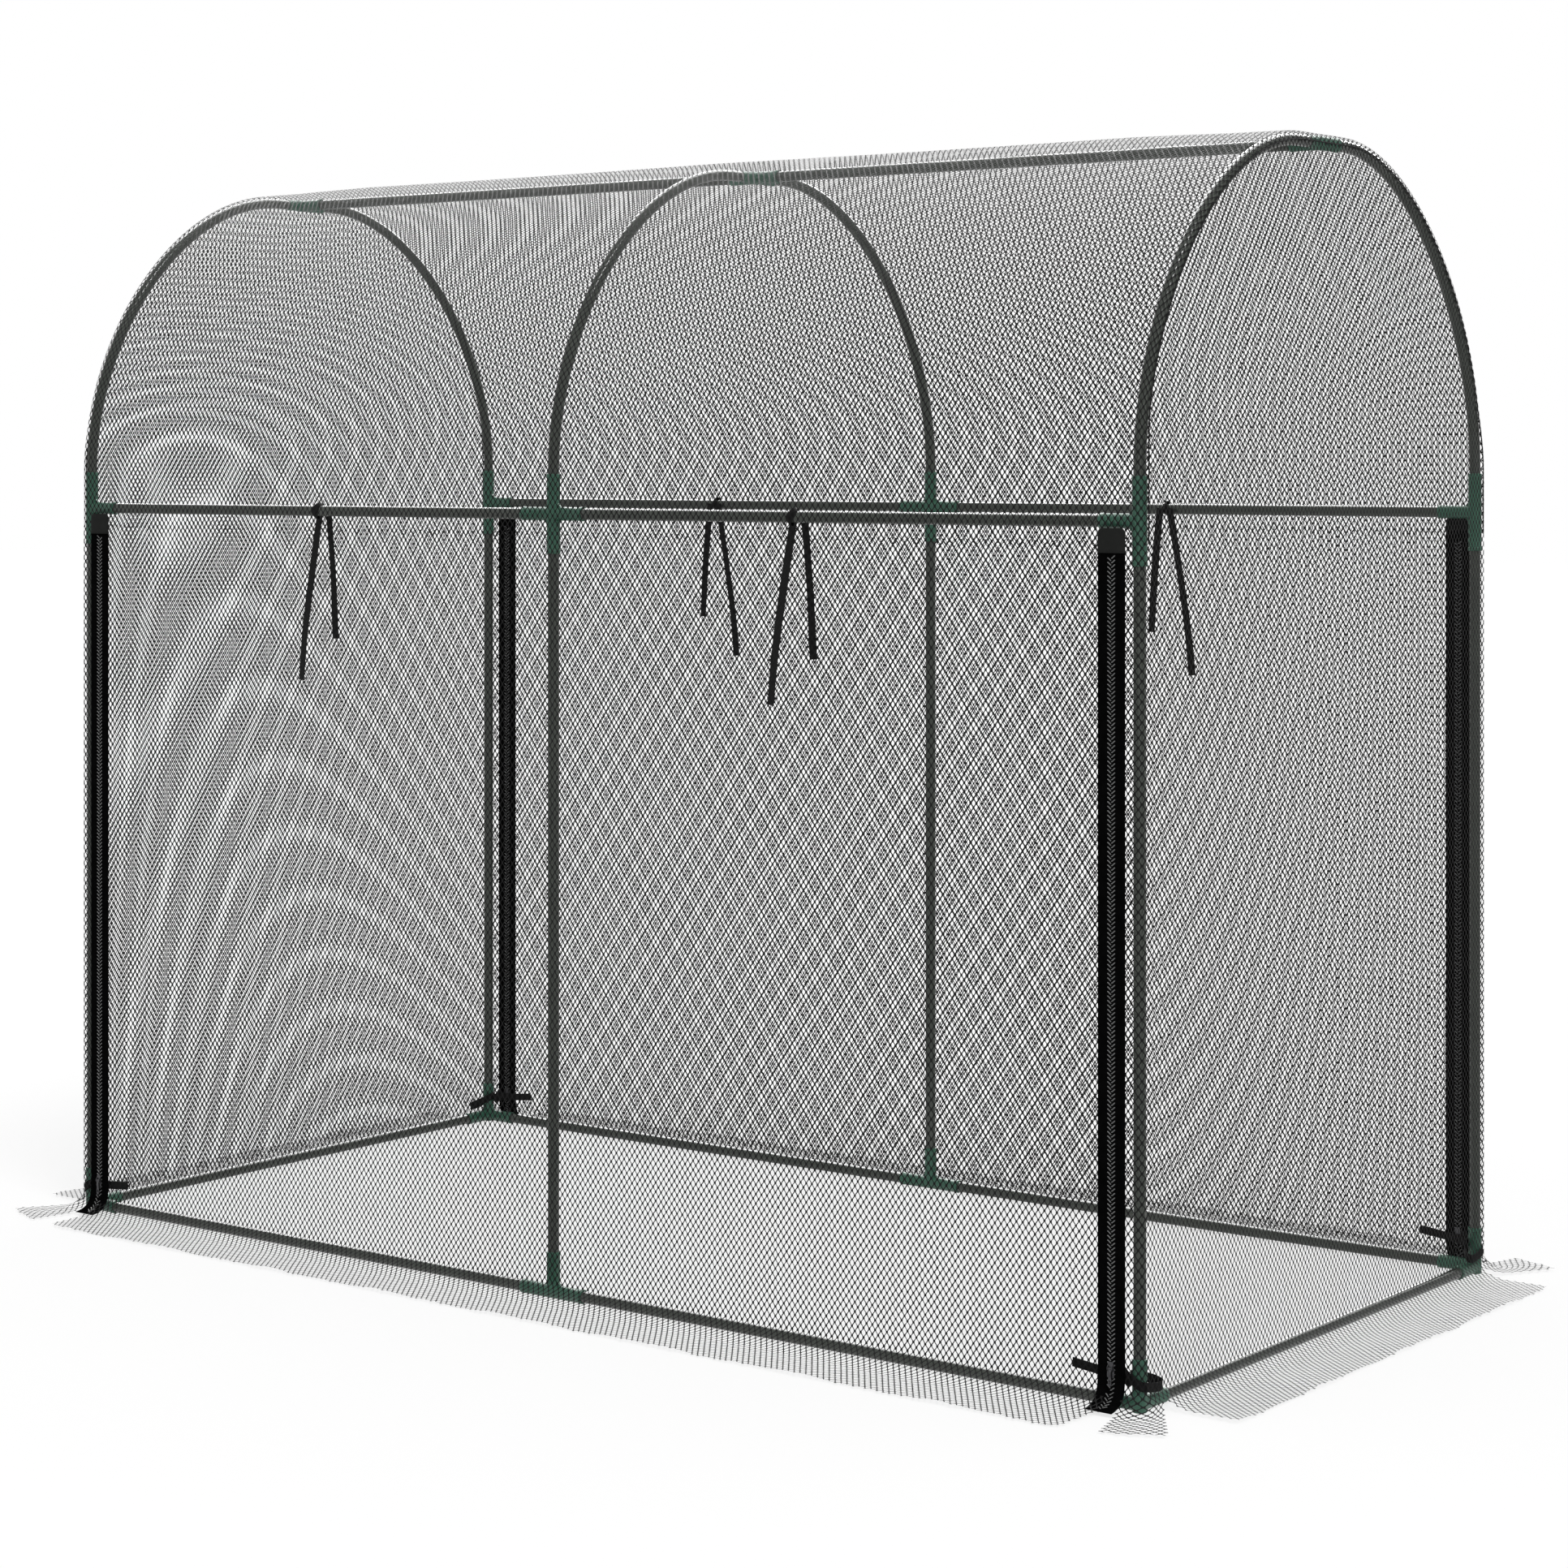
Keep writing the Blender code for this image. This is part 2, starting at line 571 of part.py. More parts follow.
def strip_outline(path, half):
    """The outline of a strip that follows a flat path."""
    left, right = [], []
    for k, at in enumerate(path):
        run = Vector(path[min(k + 1, len(path) - 1)]) - Vector(path[max(k - 1, 0)])
        across = Vector((-run.y, run.x)).normalized() * half
        left.append(tuple(Vector(at) + across))
        right.append(tuple(Vector(at) - across))
    return left + right[::-1]


def tie_mesh(name, bore_radius, axis, at, knot_at, tails):
    """A ribbon's band round a tube, its knot, and the tails that hang from the knot."""
    width = Vector(axis) * RIBBON_WIDTH
    outer = rod(at - width / 2, at + width / 2, bore_radius + RIBBON_THICKNESS, SLEEVE_SIDES)
    bore = rod(at - width, at + width, bore_radius, SLEEVE_SIDES)
    bm = bmesh.new()
    bmesh.ops.create_icosphere(bm, subdivisions=1, radius=KNOT_RADIUS)
    mesh = bpy.data.meshes.new("knot")
    bm.to_mesh(mesh)
    bm.free()
    return combined(name, outer, [guide("knot", mesh, Matrix.Translation(knot_at)), *tails], [bore])


def roll_up_tie(name, sign, x):
    """A band on the eave rail with two tails inside the net; at the front the long one leans to -X."""
    at = Vector((x, sign * HALF_WIDTH, EAVE_HEIGHT))
    knot = at + Vector((0, -sign * (BORE_RADIUS + KNOT_SEAT), KNOT_RADIUS / 2))
    hang = Matrix.Translation(knot) @ Matrix.Rotation(pi / 2, 4, "X")
    tails = []
    for length, splay, lean in ((LONG_TAIL, LONG_SPLAY, sign), (SHORT_TAIL, SHORT_SPLAY, -sign)):
        path = [(lean * (TAIL_START + splay * length * t * (1.3 - 0.3 * t)), -length * t)
                for t in (0.006, 0.2, 0.5, 0.75, 1.0)]
        tails.append(extrusion(strip_outline(path, RIBBON_WIDTH / 2), RIBBON_THICKNESS, hang))
    add(name, tie_mesh(name, BORE_RADIUS, (1, 0, 0), at, knot, tails), RIBBON)


def corner_tie(name, sign, end_sign):
    """A band round a base corner's upright sleeve, with a tail that runs behind the zip along the net."""
    at = Vector((end_sign * HALF_LENGTH, sign * HALF_WIDTH, CORNER_TIE_HEIGHT))
    knot = at - Vector((end_sign * (BAND_BORE + KNOT_SEAT), 0, 0))
    path = [(-end_sign * inwards, sign * outwards) for inwards, outwards in CORNER_TAIL]
    rise = Matrix.Translation(knot) @ Matrix.Rotation(end_sign * CORNER_TAIL_RISE, 4, "Y")
    tail = extrusion(strip_outline(path, RIBBON_THICKNESS / 2), RIBBON_WIDTH, rise)
    add(name, tie_mesh(name, BAND_BORE, (0, 0, 1), at, knot, [tail]), RIBBON)


def build_ties():
    for side, sign in SIDES.items():
        for end, end_sign in ENDS.items():
            roll_up_tie(f"roll_up_tie_{side}_{end}", sign, TIE_PLACES[side, end])
            corner_tie(f"corner_tie_{side}_{end}", sign, end_sign)


build_tubes()
build_fittings()
build_roof_net()
for end_name, end_side in ENDS.items():
    build_end_net(end_name, end_side)
for side_name, side_sign in SIDES.items():
    build_door(side_name, side_sign)
build_sliders()
build_ties()
bpy.context.view_layer.update()
print(f"crop cage: {len(PARTS.objects)} pieces")
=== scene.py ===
from itertools import combinations
from math import ceil, cos, floor, pi, radians, sin, sqrt
import bmesh
import bpy
from mathutils import Matrix, Vector
from mathutils.geometry import interpolate_bezier


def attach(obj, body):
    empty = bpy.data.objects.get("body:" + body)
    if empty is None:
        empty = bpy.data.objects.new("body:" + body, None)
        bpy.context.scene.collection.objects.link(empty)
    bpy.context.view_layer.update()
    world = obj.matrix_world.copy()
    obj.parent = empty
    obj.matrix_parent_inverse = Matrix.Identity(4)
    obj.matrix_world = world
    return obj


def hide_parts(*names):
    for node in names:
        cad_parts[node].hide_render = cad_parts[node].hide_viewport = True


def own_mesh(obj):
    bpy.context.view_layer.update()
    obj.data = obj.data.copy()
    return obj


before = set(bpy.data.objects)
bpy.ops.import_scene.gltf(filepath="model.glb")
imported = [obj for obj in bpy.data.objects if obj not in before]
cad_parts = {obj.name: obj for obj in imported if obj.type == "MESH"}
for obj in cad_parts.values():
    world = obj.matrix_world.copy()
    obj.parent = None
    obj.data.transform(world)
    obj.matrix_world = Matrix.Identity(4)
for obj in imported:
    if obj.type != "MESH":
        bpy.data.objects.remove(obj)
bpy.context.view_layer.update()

# Crop cage: hooped tube frame, plug-in fittings and a net cover with two zipped doors.
# Metres. The front door is at -Y, the right-hand end at +X, the ground at 0.

scene = bpy.context.scene
scene.view_settings.view_transform = "Standard"
sideSigns = {"front": -1, "back": 1}
endSigns = {"left": -1, "right": 1}

# Where the frame has its axes and the cover its planes
cage = {
    "halfLength": 1.2000, "halfWidth": 0.5775, "eave": 1.3765, "crown": 2.0025, "base": 0.0125,
    "netX": 1.2165, "netY": 0.5940, "netCorner": 0.0165,
    "seam": 1.3415, "foot": 0.0320, "zipX": 1.1590, "tapeWidth": 0.0250,
}


# Small helpers

def place(name, data):
    obj = bpy.data.objects.new(name, data)
    scene.collection.objects.link(obj)
    return obj


def newNode(tree, kind, inputs=None, **settings):
    node = tree.nodes.new(kind)
    for key, value in settings.items():
        setattr(node, key, value)
    for key, value in (inputs or {}).items():
        if isinstance(value, bpy.types.NodeSocket):
            tree.links.new(value, node.inputs[key])
        else:
            node.inputs[key].default_value = value
    return node


def calc(tree, operation, a, b=0.0, c=0.0):
    return newNode(tree, "ShaderNodeMath", {0: a, 1: b, 2: c}, operation=operation).outputs[0]


def addSockets(tree, ins, outs):
    for direction, sockets in (("INPUT", ins), ("OUTPUT", outs)):
        for name, kind in sockets:
            tree.interface.new_socket(name=name, in_out=direction, socket_type="NodeSocket" + kind)


def useTree(obj, tree, **values):
    modifier = obj.modifiers.new(tree.name, "NODES")
    modifier.node_group = tree
    for item in tree.interface.items_tree:
        if item.in_out == "INPUT" and item.name in values:
            modifier[item.identifier] = values[item.name]


# Evaluates helper objects, joins them in one plain mesh with its place in it, and removes them
def plainPiece(name, *sources):
    bpy.context.view_layer.update()
    graph = bpy.context.evaluated_depsgraph_get()
    bm = bmesh.new()
    for source in sources:
        made = bpy.data.meshes.new_from_object(source.evaluated_get(graph))
        made.transform(source.matrix_world)
        bm.from_mesh(made)
    mesh = bpy.data.meshes.new(name)
    bm.to_mesh(mesh)
    bm.free()
    for source in sources:
        bpy.data.objects.remove(source, do_unlink=True)
    return place(name, mesh)


def dress(obj, material, body, nodes=()):
    obj.data.materials.clear()
    obj.data.materials.append(material)
    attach(obj, body)
    if nodes:
        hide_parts(*nodes)
    return obj


# A closed skin swept along a path. The section is a list of (across, up) in the path's own frame,
# and the UV map "flat" holds metres round the section and along the path. An upright strip keeps its
# first section axis as steep as the path lets it be.
def sweep(name, path, section, up, loop=False, turn=None, upright=False):
    path = [Vector(p) for p in path]
    count, size = len(path), len(section)
    up = Vector(up)
    points, along = [], [0.0]
    for k, at in enumerate(path):
        before = path[k - 1] if loop or k else at
        after = path[(k + 1) % count] if loop or k < count - 1 else at
        run = (after - before).normalized()
        up = run.cross((0, 0, 1)).normalized() if upright else (up - run * up.dot(run)).normalized()
        lift = Matrix.Rotation(turn(k / (count - 1)), 3, run) @ up if turn else up
        side = run.cross(lift)
        points += [at + side * a + lift * b for a, b in section]
        along.append(along[-1] + (path[(k + 1) % count] - at).length)
    around = [0.0]
    for (a, b), (c, d) in zip(section, section[1:] + section[:1]):
        around.append(around[-1] + Vector((c - a, d - b)).length)
    faces, uvs = [], []
    for k in range(count if loop else count - 1):
        for j in range(size):
            n = (j + 1) % size
            here, there = k * size, (k + 1) % count * size
            faces.append((here + j, there + j, there + n, here + n))
            uvs.append([(around[j], along[k]), (around[j], along[k + 1]),
                        (around[j + 1], along[k + 1]), (around[j + 1], along[k])])
    if not loop:
        faces += [tuple(range(size)), tuple(reversed(range(len(points) - size, len(points))))]
        uvs += [[(0.0, 0.0)] * size, [(0.0, along[-2])] * size]
    mesh = bpy.data.meshes.new(name)
    mesh.from_pydata(points, [], faces)
    layer = mesh.uv_layers.new(name="flat")
    layer.data.foreach_set("uv", [x for face in uvs for uv in face for x in uv])
    finishNormals(mesh)
    return place(name, mesh)


def finishNormals(mesh, sharp=40):
    bm = bmesh.new()
    bm.from_mesh(mesh)
    bmesh.ops.recalc_face_normals(bm, faces=bm.faces)
    bm.to_mesh(mesh)
    bm.free()
    mesh.shade_smooth()
    mesh.set_sharp_from_angle(angle=radians(sharp))


# Even steps all the way round, the first of them a share of a step in
def angles(count, start=0.0):
    return [2 * pi * (k + start) / count for k in range(count)]


def circle(radius, sides):
    return [(radius * cos(t), radius * sin(t)) for t in angles(sides)]


# A flat strip's section, its long edges rounded
def stripSection(width, thickness, steps=3):
    half, r = width / 2 - thickness / 2, thickness / 2
    arc = [(-pi / 2 + pi * k / steps) for k in range(steps + 1)]
    right = [(half + r * cos(t), r * sin(t)) for t in arc]
    return right + [(-x, -y) for x, y in right]


print("crop cage: helpers ready")


# Camera

view = {"place": (4.0201, -5.1821, 1.4724), "azimuth": 37.329, "lens": 79.81, "sensor": 36.0,
        "shift": -0.2072, "clipEnd": 200.0}


def buildCamera():
    data = bpy.data.cameras.new("camera")
    data.lens, data.sensor_width, data.shift_y = view["lens"], view["sensor"], view["shift"]
    data.clip_end = view["clipEnd"]
    obj = place("camera", data)
    obj.rotation_euler = (pi / 2, 0.0, radians(view["azimuth"]))
    obj.location = view["place"]
    scene.camera = obj


buildCamera()


# Materials. Both shader groups are built once and placed with each finish's own values.

surface = {"patchDetail": 4.0, "patchRoughness": 0.62, "grainDetail": 3.0, "patchShare": 0.65,
           "grainShare": 0.35, "colourRange": (0.34, 0.66), "roughRange": (0.3, 0.7), "weaveShade": -0.55,
           "weaveGrain": 0.3}


def grainGroup():
    tree = bpy.data.node_groups.new("surfaceGrain", "ShaderNodeTree")
    addSockets(tree, [("Main", "Color"), ("Other", "Color"), ("Patch Scale", "Float"),
                      ("Grain Scale", "Float"), ("Least Rough", "Float"), ("Most Rough", "Float")],
               [("Colour", "Color"), ("Roughness", "Float"), ("Height", "Float")])
    given = newNode(tree, "NodeGroupInput").outputs
    spot = newNode(tree, "ShaderNodeTexCoord").outputs["Object"]
    patches = newNode(tree, "ShaderNodeTexNoise",
                      {"Vector": spot, "Scale": given["Patch Scale"], "Detail": surface["patchDetail"],
                       "Roughness": surface["patchRoughness"]}).outputs[0]
    grain = newNode(tree, "ShaderNodeTexNoise", {"Vector": spot, "Scale": given["Grain Scale"],
                                                 "Detail": surface["grainDetail"]}).outputs[0]
    blend = calc(tree, "ADD", calc(tree, "MULTIPLY", patches, surface["patchShare"]),
                 calc(tree, "MULTIPLY", grain, surface["grainShare"]))
    low, high = surface["colourRange"]
    spread = newNode(tree, "ShaderNodeMapRange", {0: blend, 1: low, 2: high}).outputs[0]
    colour = newNode(tree, "ShaderNodeMix", {0: spread, 6: given["Main"], 7: given["Other"]},
                     data_type="RGBA")
    low, high = surface["roughRange"]
    rough = newNode(tree, "ShaderNodeMapRange", {0: patches, 1: low, 2: high, 3: given["Least Rough"],
                                                 4: given["Most Rough"]})
    newNode(tree, "NodeGroupOutput", {"Colour": colour.outputs[2], "Roughness": rough.outputs[0],
                                      "Height": grain})
    return tree


# A herringbone weave on the UV map "flat"
def weaveGroup():
    tree = bpy.data.node_groups.new("herringboneWeave", "ShaderNodeTree")
    addSockets(tree, [("Thread", "Float"), ("Stripe", "Float")], [("Height", "Float"), ("Gap", "Float")])
    given = newNode(tree, "NodeGroupInput").outputs
    flat = newNode(tree, "ShaderNodeSeparateXYZ",
                   {0: newNode(tree, "ShaderNodeUVMap", uv_map="flat").outputs[0]}).outputs
    zigzag = calc(tree, "ADD", calc(tree, "PINGPONG", flat[0], given["Stripe"]), flat[1])
    wave = calc(tree, "SINE", calc(tree, "MULTIPLY", calc(tree, "DIVIDE", zigzag, given["Thread"]), 2 * pi))
    height = calc(tree, "MULTIPLY_ADD", wave, 0.5, 0.5)
    newNode(tree, "NodeGroupOutput", {"Height": height, "Gap": calc(tree, "SUBTRACT", 1.0, height)})
    return tree


groups = {"grain": grainGroup(), "weave": weaveGroup()}

# A weave is its thread's and its stripe's width; a finish without a shine keeps the shader's own
finishes = {
    "tubePaint": {"main": (0.051, 0.059, 0.050), "other": (0.065, 0.075, 0.063), "patch": 9.0, "grain": 900.0,
                  "rough": (0.15, 0.24), "bump": (0.06, 0.0003)},
    "greenPlastic": {"main": (0.030, 0.112, 0.070), "other": (0.044, 0.140, 0.092), "patch": 30.0,
                     "grain": 1400.0, "rough": (0.36, 0.50), "bump": (0.12, 0.0004)},
    "netYarn": {"main": (0.0060, 0.0060, 0.0062), "other": (0.0120, 0.0120, 0.0120), "patch": 40.0,
                "grain": 1600.0, "rough": (0.62, 0.82), "bump": (0.5, 0.0006), "shine": 0.12},
    "zipTape": {"main": (0.0026, 0.0026, 0.0027), "other": (0.0052, 0.0052, 0.0054), "patch": 60.0,
                "grain": 1500.0, "rough": (0.70, 0.88), "bump": (0.45, 0.0006),
                "weave": (0.0012, 0.0040), "shine": 0.0},
    "zipGuard": {"main": (0.018, 0.019, 0.018), "other": (0.027, 0.028, 0.027), "patch": 60.0,
                 "grain": 1500.0, "rough": (0.70, 0.88), "bump": (0.45, 0.0006),
                 "weave": (0.0010, 0.0032), "shine": 0.05},
    "zipCoil": {"main": (0.120, 0.122, 0.122), "other": (0.175, 0.178, 0.178), "patch": 80.0,
                "grain": 1800.0, "rough": (0.30, 0.44), "bump": (0.1, 0.0003)},
    "sliderMetal": {"main": (0.045, 0.045, 0.048), "other": (0.085, 0.085, 0.090), "patch": 120.0,
                    "grain": 2200.0, "rough": (0.26, 0.42), "bump": (0.15, 0.0003), "metal": 0.85},
    "ribbon": {"main": (0.0060, 0.0058, 0.0060), "other": (0.0110, 0.0105, 0.0108), "patch": 90.0,
               "grain": 1700.0, "rough": (0.58, 0.76), "bump": (0.5, 0.0005),
               "weave": (0.0010, 0.0030), "shine": 0.12},
    # A paler copy of the ribbon: painted sheen for the light that the front long tails catch
    "ribbonPaintedSheen": {"main": (0.0240, 0.0240, 0.0240), "other": (0.0350, 0.0350, 0.0350), "patch": 90.0,
                   "grain": 1700.0, "rough": (0.62, 0.80), "bump": (0.5, 0.0005),
                   "weave": (0.0010, 0.0030), "shine": 0.10},
}


def makeFinish(name, facts):
    material = bpy.data.materials.new(name)
    material.use_nodes = True
    tree = material.node_tree
    shader = tree.nodes["Principled BSDF"]
    grain = newNode(tree, "ShaderNodeGroup", node_tree=groups["grain"])
    for key, value in (("Main", (*facts["main"], 1.0)), ("Other", (*facts["other"], 1.0)),
                       ("Patch Scale", facts["patch"]), ("Grain Scale", facts["grain"]),
                       ("Least Rough", facts["rough"][0]), ("Most Rough", facts["rough"][1])):
        grain.inputs[key].default_value = value
    colour, height = grain.outputs["Colour"], grain.outputs["Height"]
    if "weave" in facts:
        weave = newNode(tree, "ShaderNodeGroup", node_tree=groups["weave"])
        weave.inputs["Thread"].default_value, weave.inputs["Stripe"].default_value = facts["weave"]
        # The colour is darker in the weave's gaps: painted shade between the threads
        dark = calc(tree, "MULTIPLY_ADD", weave.outputs["Gap"], surface["weaveShade"], 1.0)
        colour = newNode(tree, "ShaderNodeMix", {0: 1.0, 6: colour, 7: dark}, data_type="RGBA",
                         blend_type="MULTIPLY").outputs[2]
        height = calc(tree, "MULTIPLY_ADD", height, surface["weaveGrain"], weave.outputs["Height"])
    bump = newNode(tree, "ShaderNodeBump", {"Height": height, "Strength": facts["bump"][0],
                                            "Distance": facts["bump"][1]})
    tree.links.new(colour, shader.inputs["Base Color"])
    tree.links.new(grain.outputs["Roughness"], shader.inputs["Roughness"])
    tree.links.new(bump.outputs[0], shader.inputs["Normal"])
    shader.inputs["Metallic"].default_value = facts.get("metal", 0.0)
    shader.inputs["Specular IOR Level"].default_value = facts.get("shine", 0.5)
    return material


materials = {name: makeFinish(name, facts) for name, facts in finishes.items()}
print("crop cage: materials made")


# Ribbon ties. The tails are the cords; they follow the routes of the frame's own ties.

tie = {
    "width": 0.015, "thickness": 0.0011, "wrap": (0.0100, 0.0056), "wrapStrip": (0.0116, 0.0024),
    "wrapTurns": ((0.45, 1.0), (-0.55, 0.86)),
}


def ribbonPiece(name, path, up, **how):
    return sweep(name, path, stripSection(tie["width"], tie["thickness"]), up, **how)


# A knot is a strip wrapped tight round the tails in two crossing turns
def wrapKnot(name, at, axis, out):
    axis, out = Vector(axis), Vector(out)
    other = axis.cross(out)
    wide, deep = tie["wrap"]
    turns = []
    for lean, size in tie["wrapTurns"]:
        path = [at + other * (wide * size * cos(t)) + out * (deep * size * sin(t))
                + axis * (lean * wide * cos(t)) for t in angles(20)]
        turns.append(sweep(name + "Turn", path, stripSection(*tie["wrapStrip"]), out, loop=True))
    return plainPiece(name, *turns)


def dressTie(node, *pieces, finish="ribbon"):
    for piece in pieces:
        dress(piece, materials[finish], "root", [node])


railTies = {
    "places": {("front", "left"): -0.577, ("front", "right"): 0.529,
               ("back", "left"): -0.546, ("back", "right"): 0.558},
    "bandRadius": 0.0112, "bandTilt": 0.75, "knot": (0.01549, 0.00325), "lump": (-0.0095, 0.0125),
    "lumpAxis": (0.5, 0, 0.87), "tails": (("long", 0.320, 0.160), ("short", 0.240, 0.085)),
    "tailStart": 0.010, "tailFirst": 0.006, "tailSteps": 22, "bow": 0.3, "wave": (0.0016, 7, 0.32),
    "twist": (0.10, 1.4),
}


# The band is wrapped slantwise round the rail, as a wound ribbon is. The knot hangs on its inner side,
# with a lump of ribbon above it, and the two tails lean apart.
def railTie(side, end):
    facts, inward = railTies, -sideSigns[side]
    centre = Vector((facts["places"][side, end], -inward * cage["halfWidth"], cage["eave"]))
    name, node = f"rollUpTie_{side}_{end}", f"roll_up_tie_{side}_{end}"
    radius, (out, low), (back, lift) = facts["bandRadius"], facts["knot"], facts["lump"]
    knotAt = centre + Vector((0, inward * out, low))
    bandPath = [centre + radius * Vector((facts["bandTilt"] * sin(t), inward * cos(t), inward * sin(t)))
                for t in angles(28)]
    extras = [ribbonPiece(name + "_band", bandPath, (0, inward, 0), loop=True),
              wrapKnot(name + "_knot", knotAt, (0, 0, 1), (0, inward, 0)),
              wrapKnot(name + "_lump", knotAt + Vector((0, inward * back, lift)), facts["lumpAxis"],
                       (0, inward, 0))]
    dressTie(node, *extras)
    (size, pace, full), (twist, turns) = facts["wave"], facts["twist"]
    first, bow, steps = facts["tailFirst"], facts["bow"], facts["tailSteps"]
    for (word, length, splay), lean in zip(facts["tails"], (-inward, inward)):
        shares = [first + (1 - first) * k / steps for k in range(steps + 1)]
        path = [knotAt + Vector((lean * (facts["tailStart"] + splay * length * t * (1 + bow - bow * t)),
                                 inward * size * sin(pace * t * length / full) * t, -length * t))
                for t in shares]
        tail = ribbonPiece(f"{name}_{word}Tail", path, (0, inward, 0),
                           turn=lambda share, lean=lean: lean * twist * sin(pi * share * turns))
        # The front ties' long tails get a paler copy of the ribbon, a painted sheen for the light they catch
        dressTie(node, tail, finish="ribbonPaintedSheen" if (side, word) == ("front", "long") else "ribbon")
        extras = []


cornerTies = {
    "height": 0.052, "band": 0.0141, "loop": (0.046, 0.010), "sag": (0.004, 0.008, 0.011), "knot": 0.01805,
    "tail": ((0, 0), (0.010, 0.005), (0.030, 0.0105), (0.098, 0.0115)), "rise": 6.0, "tailSteps": 6,
    "fold": (0.0165, 0.0022, 0.0090), "foldSlope": (0.64, 0.77), "foldShift": 0.003,
}


# The band hangs loose round the sleeve, with a fold of ribbon by its knot, and the tail runs behind the
# zip along the net
def cornerTie(side, end):
    facts, inY, inX = cornerTies, -sideSigns[side], -endSigns[end]
    centre = Vector((-inX * cage["halfLength"], -inY * cage["halfWidth"], facts["height"]))
    knotAt = centre + Vector((inX * facts["knot"], 0, 0))
    name, node = f"cornerTie_{side}_{end}", f"corner_tie_{side}_{end}"
    radius, (reach, swing), (low, tilt, sag) = facts["band"], facts["loop"], facts["sag"]
    bandPath = []
    for t in angles(36):
        inner = max(0.0, sin(t))
        bandPath.append(centre + Vector((inX * (radius * cos(t) - swing * inner * inner),
                                         inY * (reach * inner + radius * min(0.0, sin(t))),
                                         tilt * cos(t) - low - sag * inner)))
    (along, deep, out), (level, steep) = facts["fold"], facts["foldSlope"]
    slope = Vector((inX * level, 0, steep))
    foldPath = [knotAt + slope * (along * cos(t) + facts["foldShift"])
                - Vector((0, inY, 0)) * (out + deep * sin(t)) for t in angles(24)]
    extras = [ribbonPiece(name + "_band", bandPath, (inX, 0, 0), loop=True, upright=True),
              wrapKnot(name + "_knot", knotAt, (0, 0, 1), (inX, 0, 0)),
              ribbonPiece(name + "_fold", foldPath, slope, loop=True)]
    dressTie(node, *extras)
    rise = radians(facts["rise"])
    corners = [knotAt + Vector((inX * inwards * cos(rise), -inY * outwards, inwards * sin(rise)))
               for inwards, outwards in facts["tail"]]
    path = smoothLine(corners, facts["tailSteps"])
    tail = ribbonPiece(name + "_tail", path, (0, inY, 0))
    dressTie(node, tail)
    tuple(path[0])
    round(lengths(path)[-1], 3)


def lengths(line):
    run = [0.0]
    for a, b in zip(line, line[1:]):
        run.append(run[-1] + (b - a).length)
    return run


# A smooth line through points, with that many steps between each two
def smoothLine(points, steps):
    line = []
    for k in range(len(points) - 1):
        p0, p1, p2, p3 = (points[max(0, min(len(points) - 1, k + j))] for j in (-1, 0, 1, 2))
        for j in range(steps):
            t = j / steps
            line.append(0.5 * (2 * p1 + (p2 - p0) * t + (2 * p0 - 5 * p1 + 4 * p2 - p3) * t * t
                               + (3 * p1 - p0 - 3 * p2 + p3) * t ** 3))
    return line + [points[-1].copy()]


for sideName in sideSigns:
    for endName in endSigns:
        railTie(sideName, endName)
        cornerTie(sideName, endName)
print("crop cage: ribbon ties made")


# Tubes

tubes = {"radius": 0.0100, "wall": 0.0010, "sides": 28, "stop": 0.01484, "plugStop": 0.0453,
         "armStraight": 0.076, "bendPull": 0.50, "bendSteps": 30}


# The hoop's bend from the eave to the crown in (y, z), for the half at -Y
def hoopBend(steps):
    low = Vector((-cage["halfWidth"], cage["eave"] + tubes["armStraight"], 0))
    high = Vector((-tubes["armStraight"], cage["crown"], 0))
    pull = tubes["bendPull"]
    up, over = Vector((0, (high.y - low.y) * pull, 0)), Vector(((high.x - low.x) * pull, 0, 0))
    return [p.xy for p in interpolate_bezier(low, low + up, high - over, high, steps + 1)]


def tubeWall(path):
    outer = sweep("outer", path, circle(tubes["radius"], tubes["sides"]), (0.3, 0.9, 0.2))
    bm = bmesh.new()
    bm.from_mesh(outer.data)
    bmesh.ops.delete(bm, geom=[f for f in bm.faces if len(f.verts) > 4], context="FACES_ONLY")
    bm.to_mesh(outer.data)
    bm.free()
    wall = outer.modifiers.new("wall", "SOLIDIFY")
    wall.thickness, wall.offset = tubes["wall"], -1
    wall.use_even_offset = True
    return outer


def buildTubes():
    length, width = cage["halfLength"], cage["halfWidth"]
    eave, crown, base, stop = cage["eave"], cage["crown"], cage["base"], tubes["stop"]
    bays = {"left": (-length, 0.0), "right": (0.0, length)}
    sets = {"posts": [], "hoops": [], "eaveTubes": [], "baseTubes": [], "ridgeTubes": []}
    for side, sign in sideSigns.items():
        y = sign * width
        for hoop, x in (("left", -length), ("middle", 0.0), ("right", length)):
            sets["posts"].append((f"post_{side}_{hoop}", [(x, y, base + stop), (x, y, eave - stop)]))
            bend = [(x, -sign * p.x, p.y) for p in hoopBend(tubes["bendSteps"])]
            top = sign * (tubes["plugStop"] if side == "front" else stop)
            sets["hoops"].append((f"arch_{side}_{hoop}", [(x, y, eave + stop), *bend, (x, top, crown)]))
        for bay, (x0, x1) in bays.items():
            for level, z in (("eave", eave), ("base", base)):
                sets[level + "Tubes"].append((f"{level}_tube_{side}_{bay}",
                                              [(x0 + stop, y, z), (x1 - stop, y, z)]))
    for bay, (x0, x1) in bays.items():
        sets["ridgeTubes"].append((f"ridge_tube_{bay}", [(x0 + stop, 0, crown), (x1 - stop, 0, crown)]))
    for end, sign in endSigns.items():
        sets["baseTubes"].append((f"base_tube_{end}_end", [(sign * length, stop - width, base),
                                                           (sign * length, width - stop, base)]))
    for name, members in sets.items():
        piece = plainPiece(name, *[tubeWall(path) for node, path in members])
        dress(piece, materials["tubePaint"], "root", [node for node, path in members])


buildTubes()
print("crop cage: tubes made")


